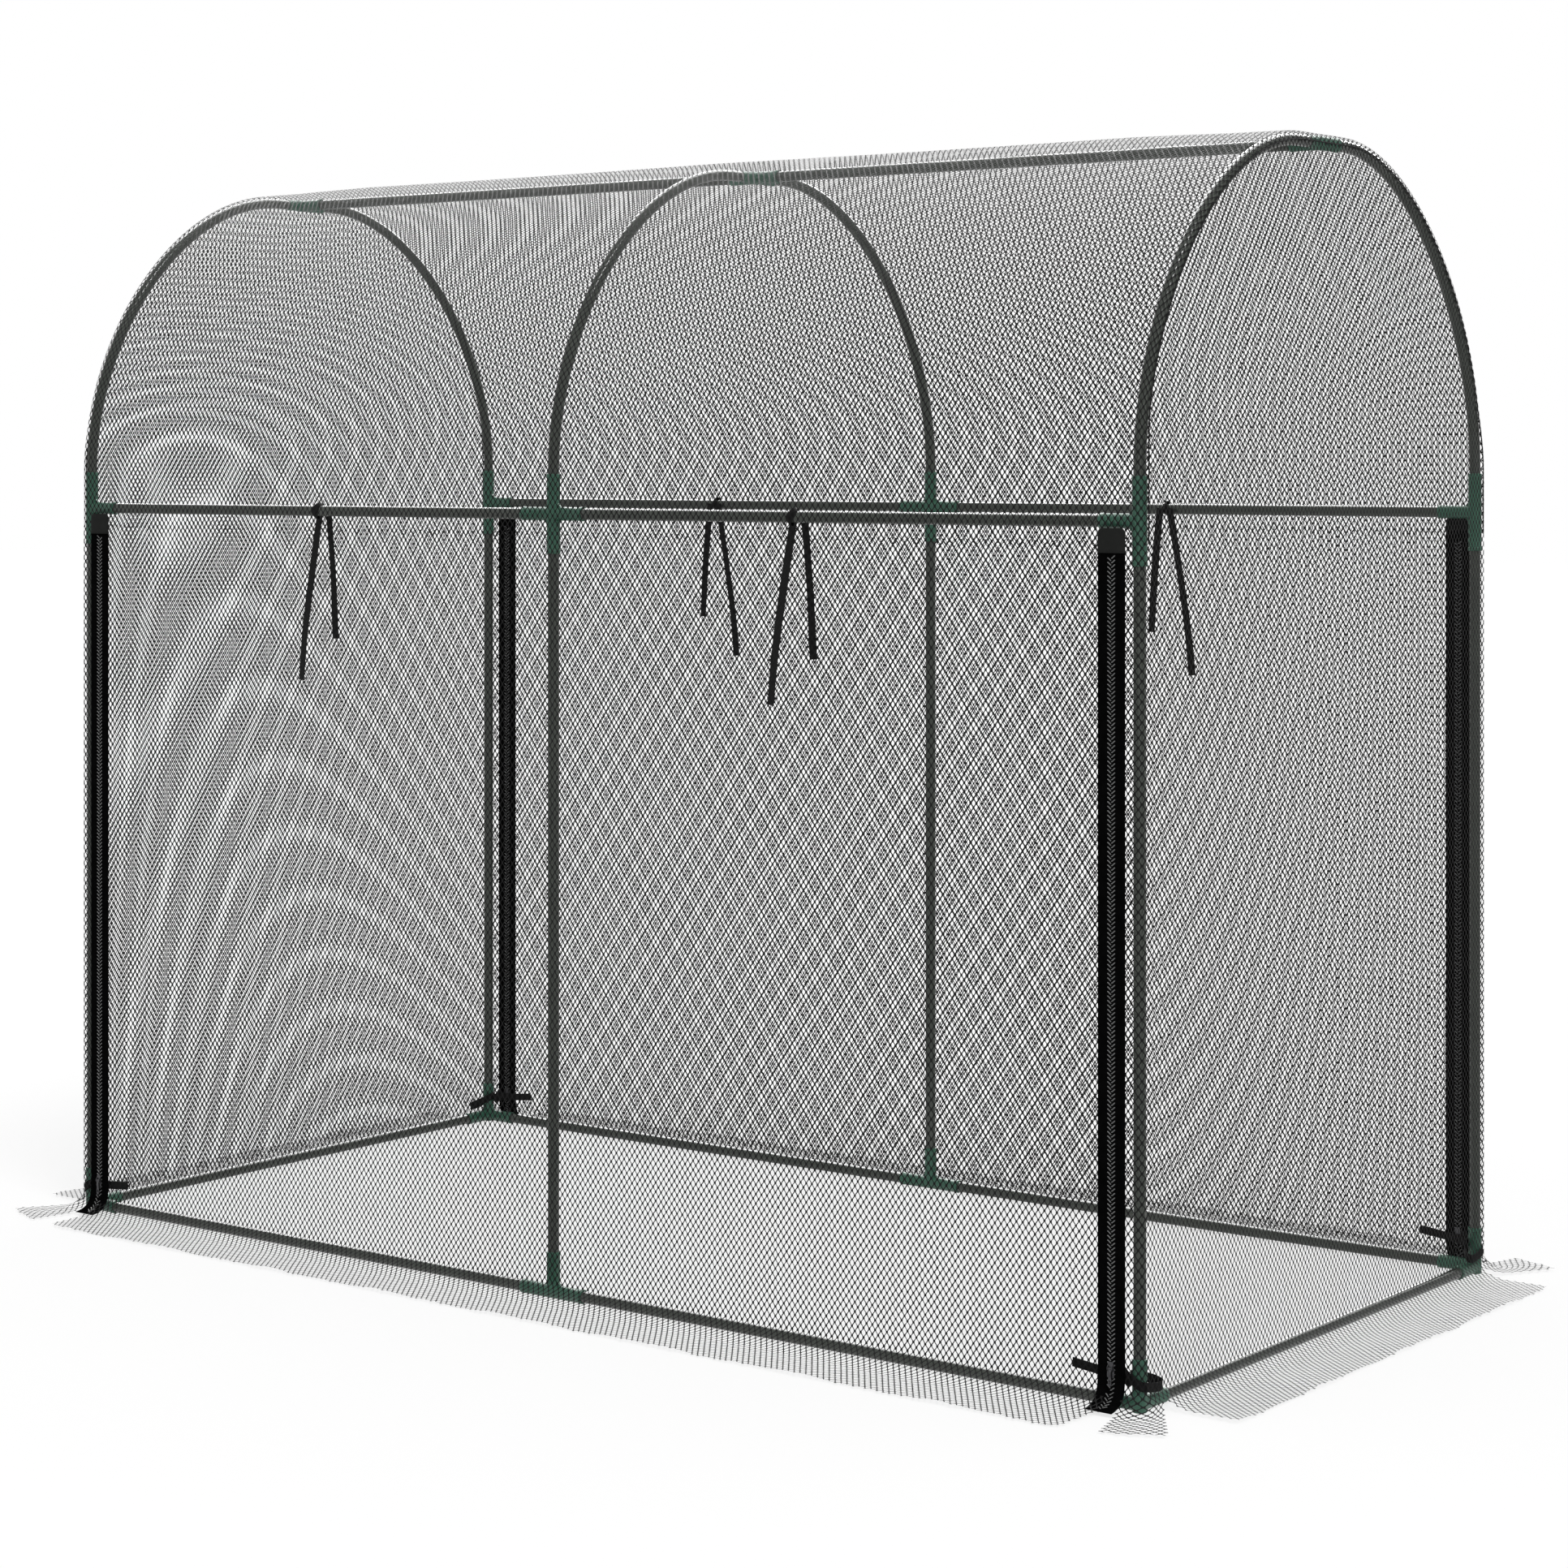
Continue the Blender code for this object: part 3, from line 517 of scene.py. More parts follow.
# Fittings: sleeves with a lip at each mouth, curved webs between them, and bored arms. The crown's
# fittings have a plug towards the front, and the hoop's front half is pushed over it. The bores end
# inside the sleeves, so the mouths are closed round the tubes.

fitting = {"arm": 0.0700, "crownArm": 0.0560, "hub": 0.0450, "hubRadius": 0.0108, "plug": (0.0280, 0.0082),
           "sleeve": 0.0119, "lip": 0.0125, "lipLength": 0.0060, "bore": 0.0104, "boreFloor": 0.0146,
           "boreEnd": 0.0430, "step": 0.00012, "sides": 36, "web": 0.0330, "webDip": 0.40,
           "webThickness": 0.0042}


def solid(name, points, faces):
    mesh = bpy.data.meshes.new(name)
    mesh.from_pydata([tuple(p) for p in points], [], faces)
    finishNormals(mesh)
    return place(name, mesh)


# A turned solid about an axis, from (distance, radius) pairs
def turned(name, axis, profile, sides):
    axis = Vector(axis)
    side = axis.orthogonal().normalized()
    other = axis.cross(side)
    points = [axis * a + (side * cos(t) + other * sin(t)) * r
              for a, r in profile for t in angles(sides, 0.5)]
    faces = []
    for k in range(len(profile) - 1):
        here, there = k * sides, (k + 1) * sides
        faces += [(here + j, here + (j + 1) % sides, there + (j + 1) % sides, there + j)
                  for j in range(sides)]
    faces += [tuple(range(sides)), tuple(range(len(points) - sides, len(points)))]
    return solid(name, points, faces)


def sleeveProfile(shrink, both, arm):
    lip, lipLength, sleeve = (fitting[k] for k in ("lip", "lipLength", "sleeve"))
    mouth = [(arm - lipLength - 0.0012, sleeve), (arm - lipLength - 0.0003, lip - 0.0002),
             (arm - lipLength, lip), (arm - 0.0007, lip), (arm - 0.0002, lip - 0.0002), (arm, lip - 0.0007)]
    start = [(-a, r) for a, r in mouth[::-1]] if both else [(0.0, sleeve)]
    return [(a, r - shrink) for a, r in start + mouth]


# The first run's far end where it has no sleeve: a plug behind its hub, or a short end with an eased edge
def farEnd(plugged):
    sleeve, ease = fitting["sleeve"], 0.001
    if not plugged:
        return [(-fitting["lip"], sleeve - ease), (-fitting["lip"] + ease, sleeve)]
    (plugLength, plugRadius), hub, radius = fitting["plug"], fitting["hub"], fitting["hubRadius"]
    return [(-hub - plugLength, plugRadius - 0.0006), (-hub - plugLength + 0.0006, plugRadius),
            (-hub, plugRadius), (-hub, radius - 0.0003), (-hub + 0.0003, radius), (-0.016, radius),
            (-0.014, sleeve)]


# The web between two runs, with curved edges from arm to arm
def webSolid(a, b, aCount, bCount):
    reach, dip = fitting["web"], fitting["webDip"] * fitting["web"]
    tips = [(reach, 0), (0, reach), (-reach * (aCount - 1), 0), (0, -reach * (bCount - 1))]
    outline = []
    for (x0, y0), (x1, y1) in zip(tips, tips[1:] + tips[:1]):
        outline.append((x0, y0))
        if (x0 or x1) and (y0 or y1):
            corner = Vector((x0 + x1, y0 + y1)) / reach * dip
            start, stop = Vector((x0, y0)), Vector((x1, y1))
            outline += [tuple((start * (1 - t) ** 2) + corner * (2 * t * (1 - t)) + stop * t * t)
                        for t in (k / 8 for k in range(1, 8))]
    outline = list(dict.fromkeys(outline))
    half, normal, size = fitting["webThickness"] / 2, a.cross(b), len(outline)
    points = [a * x + b * y + normal * h for h in (-half, half) for x, y in outline]
    edges = [(j, (j + 1) % size, size + (j + 1) % size, size + j) for j in range(size)]
    return solid("web", points, [tuple(range(size)), tuple(range(size, 2 * size)), *edges])


# The far arm of a plugged fitting's first run is the plug
def fittingMesh(name, runs, arm=fitting["arm"], plugged=False):
    sleeves, arms, sides = [], [], fitting["sides"]
    for k, (axis, count) in enumerate(runs):
        hasPlug = plugged and not sleeves
        profile = sleeveProfile(k * fitting["step"], count == 2 and not hasPlug, arm)
        if hasPlug or count == 1 and not sleeves:
            profile = farEnd(hasPlug) + profile[1:]
        sleeves.append(turned("sleeve", axis, profile, sides))
        arms += [axis, -axis][:1 if hasPlug else count]
    webs = [webSolid(a, b, aCount, bCount) for (a, aCount), (b, bCount) in combinations(runs, 2)]
    boreProfile = [(fitting["boreFloor"], fitting["bore"]), (fitting["boreEnd"], fitting["bore"])]
    bores = [turned("bore", axis, boreProfile, sides) for axis in arms]
    first = sleeves[0]
    for operation, others in (("UNION", sleeves[1:] + webs), ("DIFFERENCE", bores)):
        for other in others:
            cut = first.modifiers.new("join", "BOOLEAN")
            cut.operation, cut.object, cut.solver = operation, other, "EXACT"
    bpy.context.view_layer.update()
    mesh = bpy.data.meshes.new_from_object(first.evaluated_get(bpy.context.evaluated_depsgraph_get()))
    for obj in (*sleeves, *webs, *bores):
        bpy.data.objects.remove(obj, do_unlink=True)
    bm = bmesh.new()
    bm.from_mesh(mesh)
    bmesh.ops.remove_doubles(bm, verts=bm.verts, dist=1e-6)
    bm.to_mesh(mesh)
    bm.free()
    finishNormals(mesh, 30)
    mesh.name = name
    return mesh


def buildFittings():
    x, y, z = Vector((1, 0, 0)), Vector((0, 1, 0)), Vector((0, 0, 1))
    corner = fittingMesh("cornerShape", [(z, 1), (x, 1), (y, 1)])
    tee = fittingMesh("teeShape", [(x, 2), (z, 1)])
    cross = fittingMesh("crossShape", [(x, 2), (z, 2)])
    crownTee = fittingMesh("crownTeeShape", [(x, 2), (z, 1)], fitting["crownArm"], True)
    crownCross = fittingMesh("crownCrossShape", [(y, 2), (x, 2)], fitting["crownArm"], True)
    length, width, eave, crown, base = (cage[k] for k in ("halfLength", "halfWidth", "eave", "crown", "base"))
    sets = {"baseCorners": [], "baseTees": [], "eaveTees": [], "eaveCrosses": [], "crownFittings": []}

    def put(group, node, mesh, at, turn):
        obj = place(node + "Copy", mesh.copy())
        obj.matrix_world = Matrix.Translation(at) @ turn
        sets[group].append((node, obj))

    quarter = {"front": {"left": 0, "right": 1}, "back": {"right": 2, "left": 3}}
    for side, sign in sideSigns.items():
        for end, endSign in endSigns.items():
            put("baseCorners", f"base_corner_{side}_{end}", corner, (endSign * length, sign * width, base),
                Matrix.Rotation(quarter[side][end] * pi / 2, 4, "Z"))
            put("eaveTees", f"eave_tee_{side}_{end}", tee, (endSign * length, sign * width, eave),
                Matrix.Rotation(-endSign * pi / 2, 4, "Y"))
        put("baseTees", f"base_tee_{side}", tee, (0, sign * width, base), Matrix())
        put("eaveCrosses", f"eave_cross_{side}", cross, (0, sign * width, eave), Matrix())
    for end, endSign in endSigns.items():
        lay = Matrix.Rotation(-endSign * pi / 2, 4, "Y") @ Matrix.Rotation(pi / 2, 4, "Z")
        put("crownFittings", f"crown_tee_{end}", crownTee, (endSign * length, 0, crown), lay)
    put("crownFittings", "crown_cross", crownCross, (0, 0, crown), Matrix())
    for name, members in sets.items():
        piece = plainPiece(name, *[obj for node, obj in members])
        dress(piece, materials["greenPlastic"], "root", [node for node, obj in members])


buildFittings()
print("crop cage: fittings made")


# The net. Knots stand on a lattice whose every other row is shifted by half a mesh, and two legs run
# down from each knot, which is two strands wide. The lattice is laid out flat, in metres, and then put
# on a guide surface.

net = {"pitch": 0.0117, "row": 0.0079, "strand": 0.0022, "knot": 0.0037, "looseness": 0.00022, "seed": 7,
       "weld": 0.0001, "leastShare": 0.301}


def knottedNetTree():
    tree = bpy.data.node_groups.new("knottedNet", "GeometryNodeTree")
    addSockets(tree, [("Geometry", "Geometry"), ("Pitch", "Float"), ("Row", "Float"), ("Strand", "Float"),
                      ("Knot", "Float"), ("Start", "Vector"), ("Columns", "Int"), ("Rows", "Int"),
                      ("Looseness", "Float"), ("Seed", "Int"), ("Material", "Material")],
               [("Geometry", "Geometry")])
    given = newNode(tree, "NodeGroupInput").outputs
    spot = newNode(tree, "GeometryNodeInputPosition").outputs[0]
    here = newNode(tree, "ShaderNodeSeparateXYZ", {0: spot}).outputs
    first = newNode(tree, "ShaderNodeSeparateXYZ", {0: given["Start"]}).outputs

    def vector(a, b):
        return newNode(tree, "ShaderNodeCombineXYZ", {0: a, 1: b}).outputs[0]

    # One knot and its two legs, each leg from the knot's lower edge to the next knot's upper edge
    knotWidth = calc(tree, "MULTIPLY", given["Strand"], 2.0)
    parts = [newNode(tree, "GeometryNodeMeshGrid", {"Size X": knotWidth, "Size Y": given["Knot"],
                                                    "Vertices X": 2, "Vertices Y": 2}).outputs[0]]
    unit = newNode(tree, "GeometryNodeMeshGrid",
                   {"Size X": 1.0, "Size Y": 1.0, "Vertices X": 2, "Vertices Y": 2})
    down = calc(tree, "SUBTRACT", 0.5, here[1])
    drop = calc(tree, "SUBTRACT", given["Knot"], given["Row"])
    legY = calc(tree, "MULTIPLY_ADD", down, drop, calc(tree, "MULTIPLY", given["Knot"], -0.5))
    across = calc(tree, "SUBTRACT", given["Pitch"], knotWidth)
    for lean in (0.5, -0.5):
        shift = calc(tree, "MULTIPLY", calc(tree, "MULTIPLY_ADD", down, across, given["Strand"]), lean)
        legX = calc(tree, "MULTIPLY_ADD", here[0], given["Strand"], shift)
        parts.append(newNode(tree, "GeometryNodeSetPosition",
                             {"Geometry": unit.outputs[0], "Position": vector(legX, legY)}).outputs[0])
    cell = newNode(tree, "GeometryNodeJoinGeometry")
    for part in parts:
        tree.links.new(part, cell.inputs[0])

    # The lattice of knots
    wide = calc(tree, "MULTIPLY", calc(tree, "SUBTRACT", given["Columns"], 1.0), given["Pitch"])
    tall = calc(tree, "MULTIPLY", calc(tree, "SUBTRACT", given["Rows"], 1.0), given["Row"])
    lattice = newNode(tree, "GeometryNodeMeshGrid",
                      {"Size X": wide, "Size Y": tall, "Vertices X": given["Columns"],
                       "Vertices Y": given["Rows"]})
    fromFoot = calc(tree, "MULTIPLY_ADD", tall, 0.5, here[1])
    rowNumber = calc(tree, "ROUND", calc(tree, "DIVIDE", fromFoot, given["Row"]))
    halfPitch = calc(tree, "MULTIPLY", given["Pitch"], 0.5)
    odd = calc(tree, "MULTIPLY", calc(tree, "FLOORED_MODULO", rowNumber, 2.0), halfPitch)
    knotX = calc(tree, "ADD", calc(tree, "MULTIPLY_ADD", wide, 0.5, here[0]),
                 calc(tree, "ADD", first[0], odd))
    knotY = calc(tree, "ADD", fromFoot, first[1])
    knots = newNode(tree, "GeometryNodeSetPosition",
                    {"Geometry": lattice.outputs[0], "Position": vector(knotX, knotY)})
    copies = newNode(tree, "GeometryNodeInstanceOnPoints",
                     {"Points": knots.outputs[0], "Instance": cell.outputs[0]})
    real = newNode(tree, "GeometryNodeRealizeInstances", {0: copies.outputs[0]})
    welded = newNode(tree, "GeometryNodeMergeByDistance",
                     {"Geometry": real.outputs[0], "Distance": net["weld"]})
    marked = newNode(tree, "GeometryNodeStoreNamedAttribute",
                     {"Geometry": welded.outputs[0], "Name": "flat", "Value": spot},
                     data_type="FLOAT2", domain="CORNER")

    # Onto the guide, a little unevenly, and nothing where the guide has no cloth
    low = calc(tree, "MULTIPLY", given["Looseness"], -1.0)
    uneven = newNode(tree, "FunctionNodeRandomValue", {"Seed": given["Seed"]}, data_type="FLOAT_VECTOR")
    tree.links.new(vector(low, low), uneven.inputs["Min"])
    tree.links.new(vector(given["Looseness"], given["Looseness"]), uneven.inputs["Max"])
    loose = newNode(tree, "GeometryNodeSetPosition",
                    {"Geometry": marked.outputs[0], "Offset": uneven.outputs["Value"]})
    flat = newNode(tree, "GeometryNodeInputNamedAttribute", {"Name": "flat"}, data_type="FLOAT_VECTOR")
    onGuide = newNode(tree, "GeometryNodeSampleUVSurface",
                      {"Mesh": given["Geometry"], "UV Map": flat.outputs["Attribute"], "Sample UV": spot},
                      data_type="FLOAT_VECTOR")
    tree.links.new(spot, onGuide.inputs["Value"])
    missing = newNode(tree, "FunctionNodeBooleanMath", {0: onGuide.outputs["Is Valid"]}, operation="NOT")
    kept = newNode(tree, "GeometryNodeDeleteGeometry",
                   {"Geometry": loose.outputs[0], "Selection": missing.outputs[0]}, domain="POINT")
    laid = newNode(tree, "GeometryNodeSetPosition",
                   {"Geometry": kept.outputs[0], "Position": onGuide.outputs["Value"]})
    done = newNode(tree, "GeometryNodeSetMaterial",
                   {"Geometry": laid.outputs[0], "Material": given["Material"]})
    newNode(tree, "NodeGroupOutput", {0: done.outputs[0]})
    return tree


netTree = knottedNetTree()


# A guide surface from patches, each a list of rows of (u, v, point); u and v are metres of flat cloth
def guideSurface(name, patches):
    points, faces, flat = [], [], []
    for rows in patches:
        start, wide = len(points), len(rows[0])
        for row in rows:
            points += [tuple(p) for u, v, p in row]
            flat += [(u, v) for u, v, p in row]
        faces += [(at, at + 1, at + wide + 1, at + wide)
                  for at in (start + i * wide + j for i in range(len(rows) - 1) for j in range(wide - 1))]
    mesh = bpy.data.meshes.new(name)
    mesh.from_pydata(points, [], faces)
    layer = mesh.uv_layers.new(name="flat")
    layer.data.foreach_set("uv", [x for face in faces for k in face for x in flat[k]])
    return mesh


# Cloth from one guide, between two limits across, with the lattice in step from piece to piece
def layNet(name, guideMesh, fromU, toU, lowV, highV, body, nodes):
    pitch, row = net["pitch"], net["row"]
    first = floor(fromU / pitch)
    firstRow = 2 * floor(lowV / (2 * row))
    cloth = place(name + "Guide", guideMesh)
    useTree(cloth, netTree, Pitch=pitch, Row=row, Strand=net["strand"], Knot=net["knot"],
            Start=(first * pitch, firstRow * row, 0.0), Columns=floor(toU / pitch) - first,
            Rows=ceil((highV - firstRow * row) / row) + 2, Looseness=net["looseness"], Seed=net["seed"],
            Material=materials["netYarn"])
    piece = plainPiece(name, cloth)
    dress(piece, materials["netYarn"], body, nodes)
    print(f"crop cage: {name}, {len(piece.data.polygons)} faces")
    return piece


cover = {"sag": 0.007, "offsets": (0.0165, 0.0158, 0.0152), "crest": 0.0222, "snug": (0.0118, 0.0132),
         "aboveEave": 0.04, "crestFrom": 0.6, "snugBy": 0.15, "lowerFrom": 0.72, "gableOut": 0.25,
         "arcSteps": 48, "bayColumns": 12, "edgeSteps": 6, "edge": 0.0265, "spare": 0.006, "gableSteps": 12,
         "endHeight": 2.14, "gableArea": 0.60, "clothFrom": -0.18, "clothTo": 2.02}

skirt = {"out": 0.140, "cut": 0.160, "doorTop": 0.0353, "edgeHeight": 0.0018, "steps": (13, 14),
         "pulls": ((0.003, 0.021), (0.026, 0.0058), (0.060, 0.0034)), "wave": 0.0050, "waveFrom": 0.15,
         "waves": ((0.30, 21.0, 0.7), (0.20, 47.0, 2.1)), "flapWave": 0.6, "doorCorner": (0.010, 0.015),
         "slit": (0.012, 0.0016), "flapReturn": 0.045, "flapEdges": ((0.1324, 13.2), (0.1627, 39.0))}


def ease(share):
    share = min(1.0, max(0.0, share))
    return share * share * (3 - 2 * share)


# The hoop's line in (y, z) from the front seam to the back one, with the cover's offsets from it at each
# point: outwards, and along the cage at the ends
def hoopLine():
    offset, crest, wide = cover["offsets"][-1], cover["crest"], cage["netCorner"]
    snug, crown = cover["snug"]
    bend = hoopBend(cover["arcSteps"])
    heights = (cage["seam"], cage["eave"], cage["eave"] + cover["aboveEave"])
    line = [(Vector((-cage["halfWidth"], z)), out, wide) for z, out in zip(heights, cover["offsets"])]
    for k, at in enumerate(bend):
        share = k / len(bend)
        top = ease((share - cover["crestFrom"]) / (1 - cover["crestFrom"]))
        along = wide + (snug - wide) * ease(share / cover["snugBy"]) + (crown - snug) * top
        line.append((at, offset + (crest - offset) * top, along))
    line.append((Vector((0.0, cage["crown"])), crest, crown))
    return line + [(Vector((-p.x, p.y)), out, end) for p, out, end in line[-2::-1]]


# The cover's line in (y, z), at a share of its offsets
def coverLine(share=1.0):
    line = hoopLine()
    spots = [p for p, out, end in line]
    covered = []
    for k, (at, out, end) in enumerate(line):
        run = (spots[min(k + 1, len(spots) - 1)] - spots[max(k - 1, 0)]).normalized()
        covered.append(at + Vector((-run.y, run.x)) * out * share)
    return covered


# The roof, with its ends turned down round the end hoops to the gable seams
def roofGuide():
    line, hoop = coverLine(), hoopLine()
    along = lengths(line)
    middle = along[-1] / 2
    eaveAt = along[1]
    length, spare = cage["halfLength"], cover["spare"]
    rows = []
    for k, at in enumerate(line):
        axis, out, corner = hoop[k]
        share = (middle - abs(along[k] - middle) - eaveAt) / (middle - eaveAt)
        deep = cover["sag"] * sin(pi * max(0.0, share))
        low = min(out, cover["offsets"][-1])
        snugAt = at + (axis - at).normalized() * (out - low)
        row = []
        for j in range(-cover["bayColumns"], cover["bayColumns"] + 1):
            x = length * j / cover["bayColumns"]
            lower = (out - low) * ease((abs(x) / length - cover["lowerFrom"]) / (1 - cover["lowerFrom"]))
            sagged = at + (axis - at).normalized() * (lower + deep * sin(pi * abs(x) / length))
            row.append((x, along[k], (x, sagged.x, sagged.y)))
        for j in range(1, cover["edgeSteps"] + 2):
            turn = pi / 2 * j / cover["edgeSteps"]
            spot = axis.lerp(snugAt, cos(turn))
            u, x = length + cover["edge"] * j / cover["edgeSteps"], length + corner * sin(turn)
            row.append((u, along[k], (x, spot.x, spot.y)))
            row.insert(0, (-u, along[k], (-x, spot.x, spot.y)))
        rows.append(row)
    rows = [[(u, -spare, (x, y, z - spare)) for u, v, (x, y, z) in rows[0]], *rows,
            [(u, along[-1] + spare, (x, y, z - spare)) for u, v, (x, y, z) in rows[-1]]]
    return guideSurface("roofGuide", [rows]), along[-1]


# The skirt's profile in (outwards, height), from the wall's foot to the edge, with the way along it
def skirtProfile():
    bendSteps, flatSteps = skirt["steps"]
    pulls = [Vector((y, z, 0)) for y, z in ((0, cage["foot"]), *skirt["pulls"])]
    line = [p.xy for p in interpolate_bezier(*pulls, bendSteps)]
    out, low = pulls[-1].xy
    flat, fall = skirt["out"] + cover["spare"] / 2 - out, skirt["edgeHeight"] - low
    line += [Vector((out + flat * k / flatSteps, low + fall * k / flatSteps))
             for k in range(1, flatSteps + 1)]
    return list(zip(lengths(line), line))


def ripple(u, out):
    far = max(0.0, out / skirt["out"] - skirt["waveFrom"]) / (1 - skirt["waveFrom"])
    wave = 0.5 + sum(size * sin(u * pace + start) for size, pace, start in skirt["waves"])
    return skirt["wave"] * far * wave


def doorGuide(sign):
    spare = cover["spare"]
    edge = cage["zipX"] - cage["tapeWidth"] + spare
    rows = [[(u, v, (-sign * u, sign * cage["netY"], v)) for u in (-edge, edge)]
            for v in (skirt["doorTop"] - spare, cage["seam"] + spare)]
    return guideSurface("doorGuide", [rows])


def doorSkirtGuide(sign):
    foot, spare, (notch, radius) = cage["foot"], cover["spare"], skirt["doorCorner"]
    rows = []
    for s, p in [(-spare, Vector((0, foot + spare))), *skirtProfile()]:
        past = max(0.0, p.x - skirt["out"] + radius)
        half = cage["zipX"] - notch * p.x / skirt["out"] - radius + sqrt(max(0.0, radius ** 2 - past ** 2))
        rows.append([(u, foot - s, (-sign * u, sign * (cage["netY"] + p.x), p.y + ripple(u, p.x)))
                     for u in (half * k / 60 for k in range(-60, 61))])
    return guideSurface("doorSkirtGuide", [rows[::-1]])


# The way round the right-hand end from zip to zip, as (u, x, y)
def endRing():
    r, half, x = cage["netCorner"], cage["halfWidth"], cage["halfLength"]
    start = cage["zipX"] + cage["tapeWidth"] - cover["spare"]
    ring = [(half + r * pi / 2 + x - start, start, half + r)]
    for k in range(7):
        t = pi / 2 * (1 - k / 6)
        ring.append((half + r * t, x + r * cos(t), half + r * sin(t)))
    wall = [(half * k / 24, x + r, half * k / 24) for k in range(-23, 24)]
    return [(-u, px, -py) for u, px, py in ring] + wall + [(u, px, py) for u, px, py in ring[::-1]]


# The end's wall, its gable, and its skirt with a flap round each corner
def endGuide(sign):
    ring, profile = endRing(), skirtProfile()
    seam, foot, length, netX, wide = (cage[k] for k in ("seam", "foot", "halfLength", "netX", "netCorner"))
    patches = [[[(u, v, (x, y, v)) for u, x, y in ring] for v in (foot, seam)]]
    arch = [(p, end) for p, (at, out, end) in zip(coverLine(cover["gableOut"]), hoopLine())][3:-3]
    gable = []
    for share in (k / cover["gableSteps"] for k in range(cover["gableSteps"] + 1)):
        spots = [(p.x, seam + (p.y - seam) * share, wide + (end - wide) * ease(share)) for p, end in arch]
        gable.append([(y, z, (length + out, y, z)) for y, z, out in spots])
    patches.append(gable)
    inner, (slitStart, gap) = cage["netY"] - skirt["flapReturn"], skirt["slit"]

    def limit(p):
        return inner + (gap if p.x > slitStart else 0.0)

    patches.append([[(u, foot - s, (netX + p.x, u, p.y + ripple(u, p.x)))
                     for u in ((2 * inner - limit(p)) * k / 30 for k in range(-30, 31))] for s, p in profile])

    # A flap hangs down the corner first and then fans out to a straight edge
    corner = [(u, Vector((x, y))) for u, x, y in ring if u < -inner - 2 * gap]
    ends = [at + reach * Vector((sin(radians(lean)), -cos(radians(lean)))) for at, (reach, lean)
            in zip((corner[0][1], Vector((netX, -inner))), skirt["flapEdges"])]
    for mirror in (1, -1):
        rows = []
        for s, p in profile:
            row = []
            for u, at in [*corner, (-limit(p), Vector((netX, -limit(p))))]:
                edge = ends[0].lerp(ends[1], (u - corner[0][0]) / (-inner - corner[0][0]))
                away = Vector((max(0.0, at.x - length), min(0.0, at.y + cage["halfWidth"]))).normalized()
                fan = max(0.0, p.x - slitStart) / (skirt["out"] - slitStart)
                spot = (at + away * min(p.x, slitStart)).lerp(edge, fan)
                height = p.y + skirt["flapWave"] * ripple(u, p.x)
                row.append((mirror * u, foot - s, (spot.x, mirror * spot.y, height)))
            rows.append(row)
        patches.append(rows)
    guide = guideSurface("endGuide", patches)
    if sign < 0:
        guide.transform(Matrix.Rotation(pi, 4, "Z"))
    return guide


def buildNets():
    roofMesh, roofLength = roofGuide()
    half, more = cage["halfLength"] + cover["edge"], cover["spare"] + net["pitch"]
    for name, fromU, toU in (("roofNet_left", -half - more, 0.0), ("roofNet_right", 0.0, half + more)):
        piece = layNet(name, roofMesh, fromU, toU, -cover["spare"], roofLength, "root", ["roof_net"])
    for end, sign in endSigns.items():
        half = endRing()[-1][0]
        piece = layNet(f"endNet_{end}", endGuide(sign), -half, half + net["pitch"], cover["clothFrom"],
                       cover["clothTo"], "root", [f"{end}_end_net"])
    for side, sign in sideSigns.items():
        edge, corner = cage["zipX"] - cage["tapeWidth"], cage["zipX"]
        piece = layNet(f"doorNet_{side}", doorGuide(sign), -edge - more, edge + more,
                       skirt["doorTop"] - cover["spare"], cage["seam"], "root", [f"{side}_door_net"])
        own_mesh(piece)
        piece = layNet(f"doorSkirt_{side}", doorSkirtGuide(sign), -corner, corner + net["pitch"],
                       cover["clothFrom"], cage["foot"], f"{side}_door", [f"{side}_door_skirt"])


buildNets()
print("crop cage: nets made")


# The seam between roof and gable is bound over a thin cord

piping = {"radius": 0.0010, "sides": 8}


def buildSeams():
    line = coverLine(0.0)
    cords = []
    for sign in endSigns.values():
        path = [(sign * (cage["halfLength"] + end), p.x, p.y) for p, (at, out, end) in zip(line, hoopLine())]
        cords.append(sweep("piping", path, circle(piping["radius"], piping["sides"]), (1, 0, 0)))
    dress(plainPiece("gableSeams", *cords), materials["netYarn"], "root")


buildSeams()


# Zips: woven tapes, coil teeth, and feet that turn out onto the ground

zips = {"halfGap": 0.0001, "tapeThickness": 0.0009, "tapeEdge": 0.0004, "lap": 0.0012, "lapThickness": 0.0004,
        "lapGap": 0.0001, "tooth": (0.0003, 0.0069), "toothEnds": (0.0012, 0.0010),
        "toothRadius": (0.0016, 0.0011), "toothPitch": 0.0070, "toothSlant": 0.0019, "toothSides": 6,
        "plainTop": 0.014, "plainFoot": 0.012,
        "footBend": 0.062, "footPulls": ((0, 0.020), (0.008, 0.0095), (0.040, 0.0062)), "footSteps": 25,
        "rowStep": 0.010, "overlap": 0.0005, "guard": (1.3270, 1.3655), "guardOut": 0.0022,
        "guardBulge": 0.0008, "guardCorner": 0.008, "guardColumns": 8}


# A tape's section in (from the zip's middle, outwards); the fixed tape laps behind the other one
def tapeSection(laps):
    inner, outer, half, lap = zips["halfGap"], cage["tapeWidth"], zips["tapeThickness"] / 2, zips["lap"]
    eased = outer - zips["tapeEdge"]
    front = [(outer, 0.0), (eased, half), (inner, half)]
    if not laps:
        return front + [(inner, -half), (eased, -half)]
    shallow = half + zips["lapGap"]
    deep = shallow + zips["lapThickness"]
    return front + [(inner, -shallow), (-lap, -shallow), (-lap, -deep), (inner + lap, -deep),
                    (inner + 2 * lap, -half), (eased, -half)]


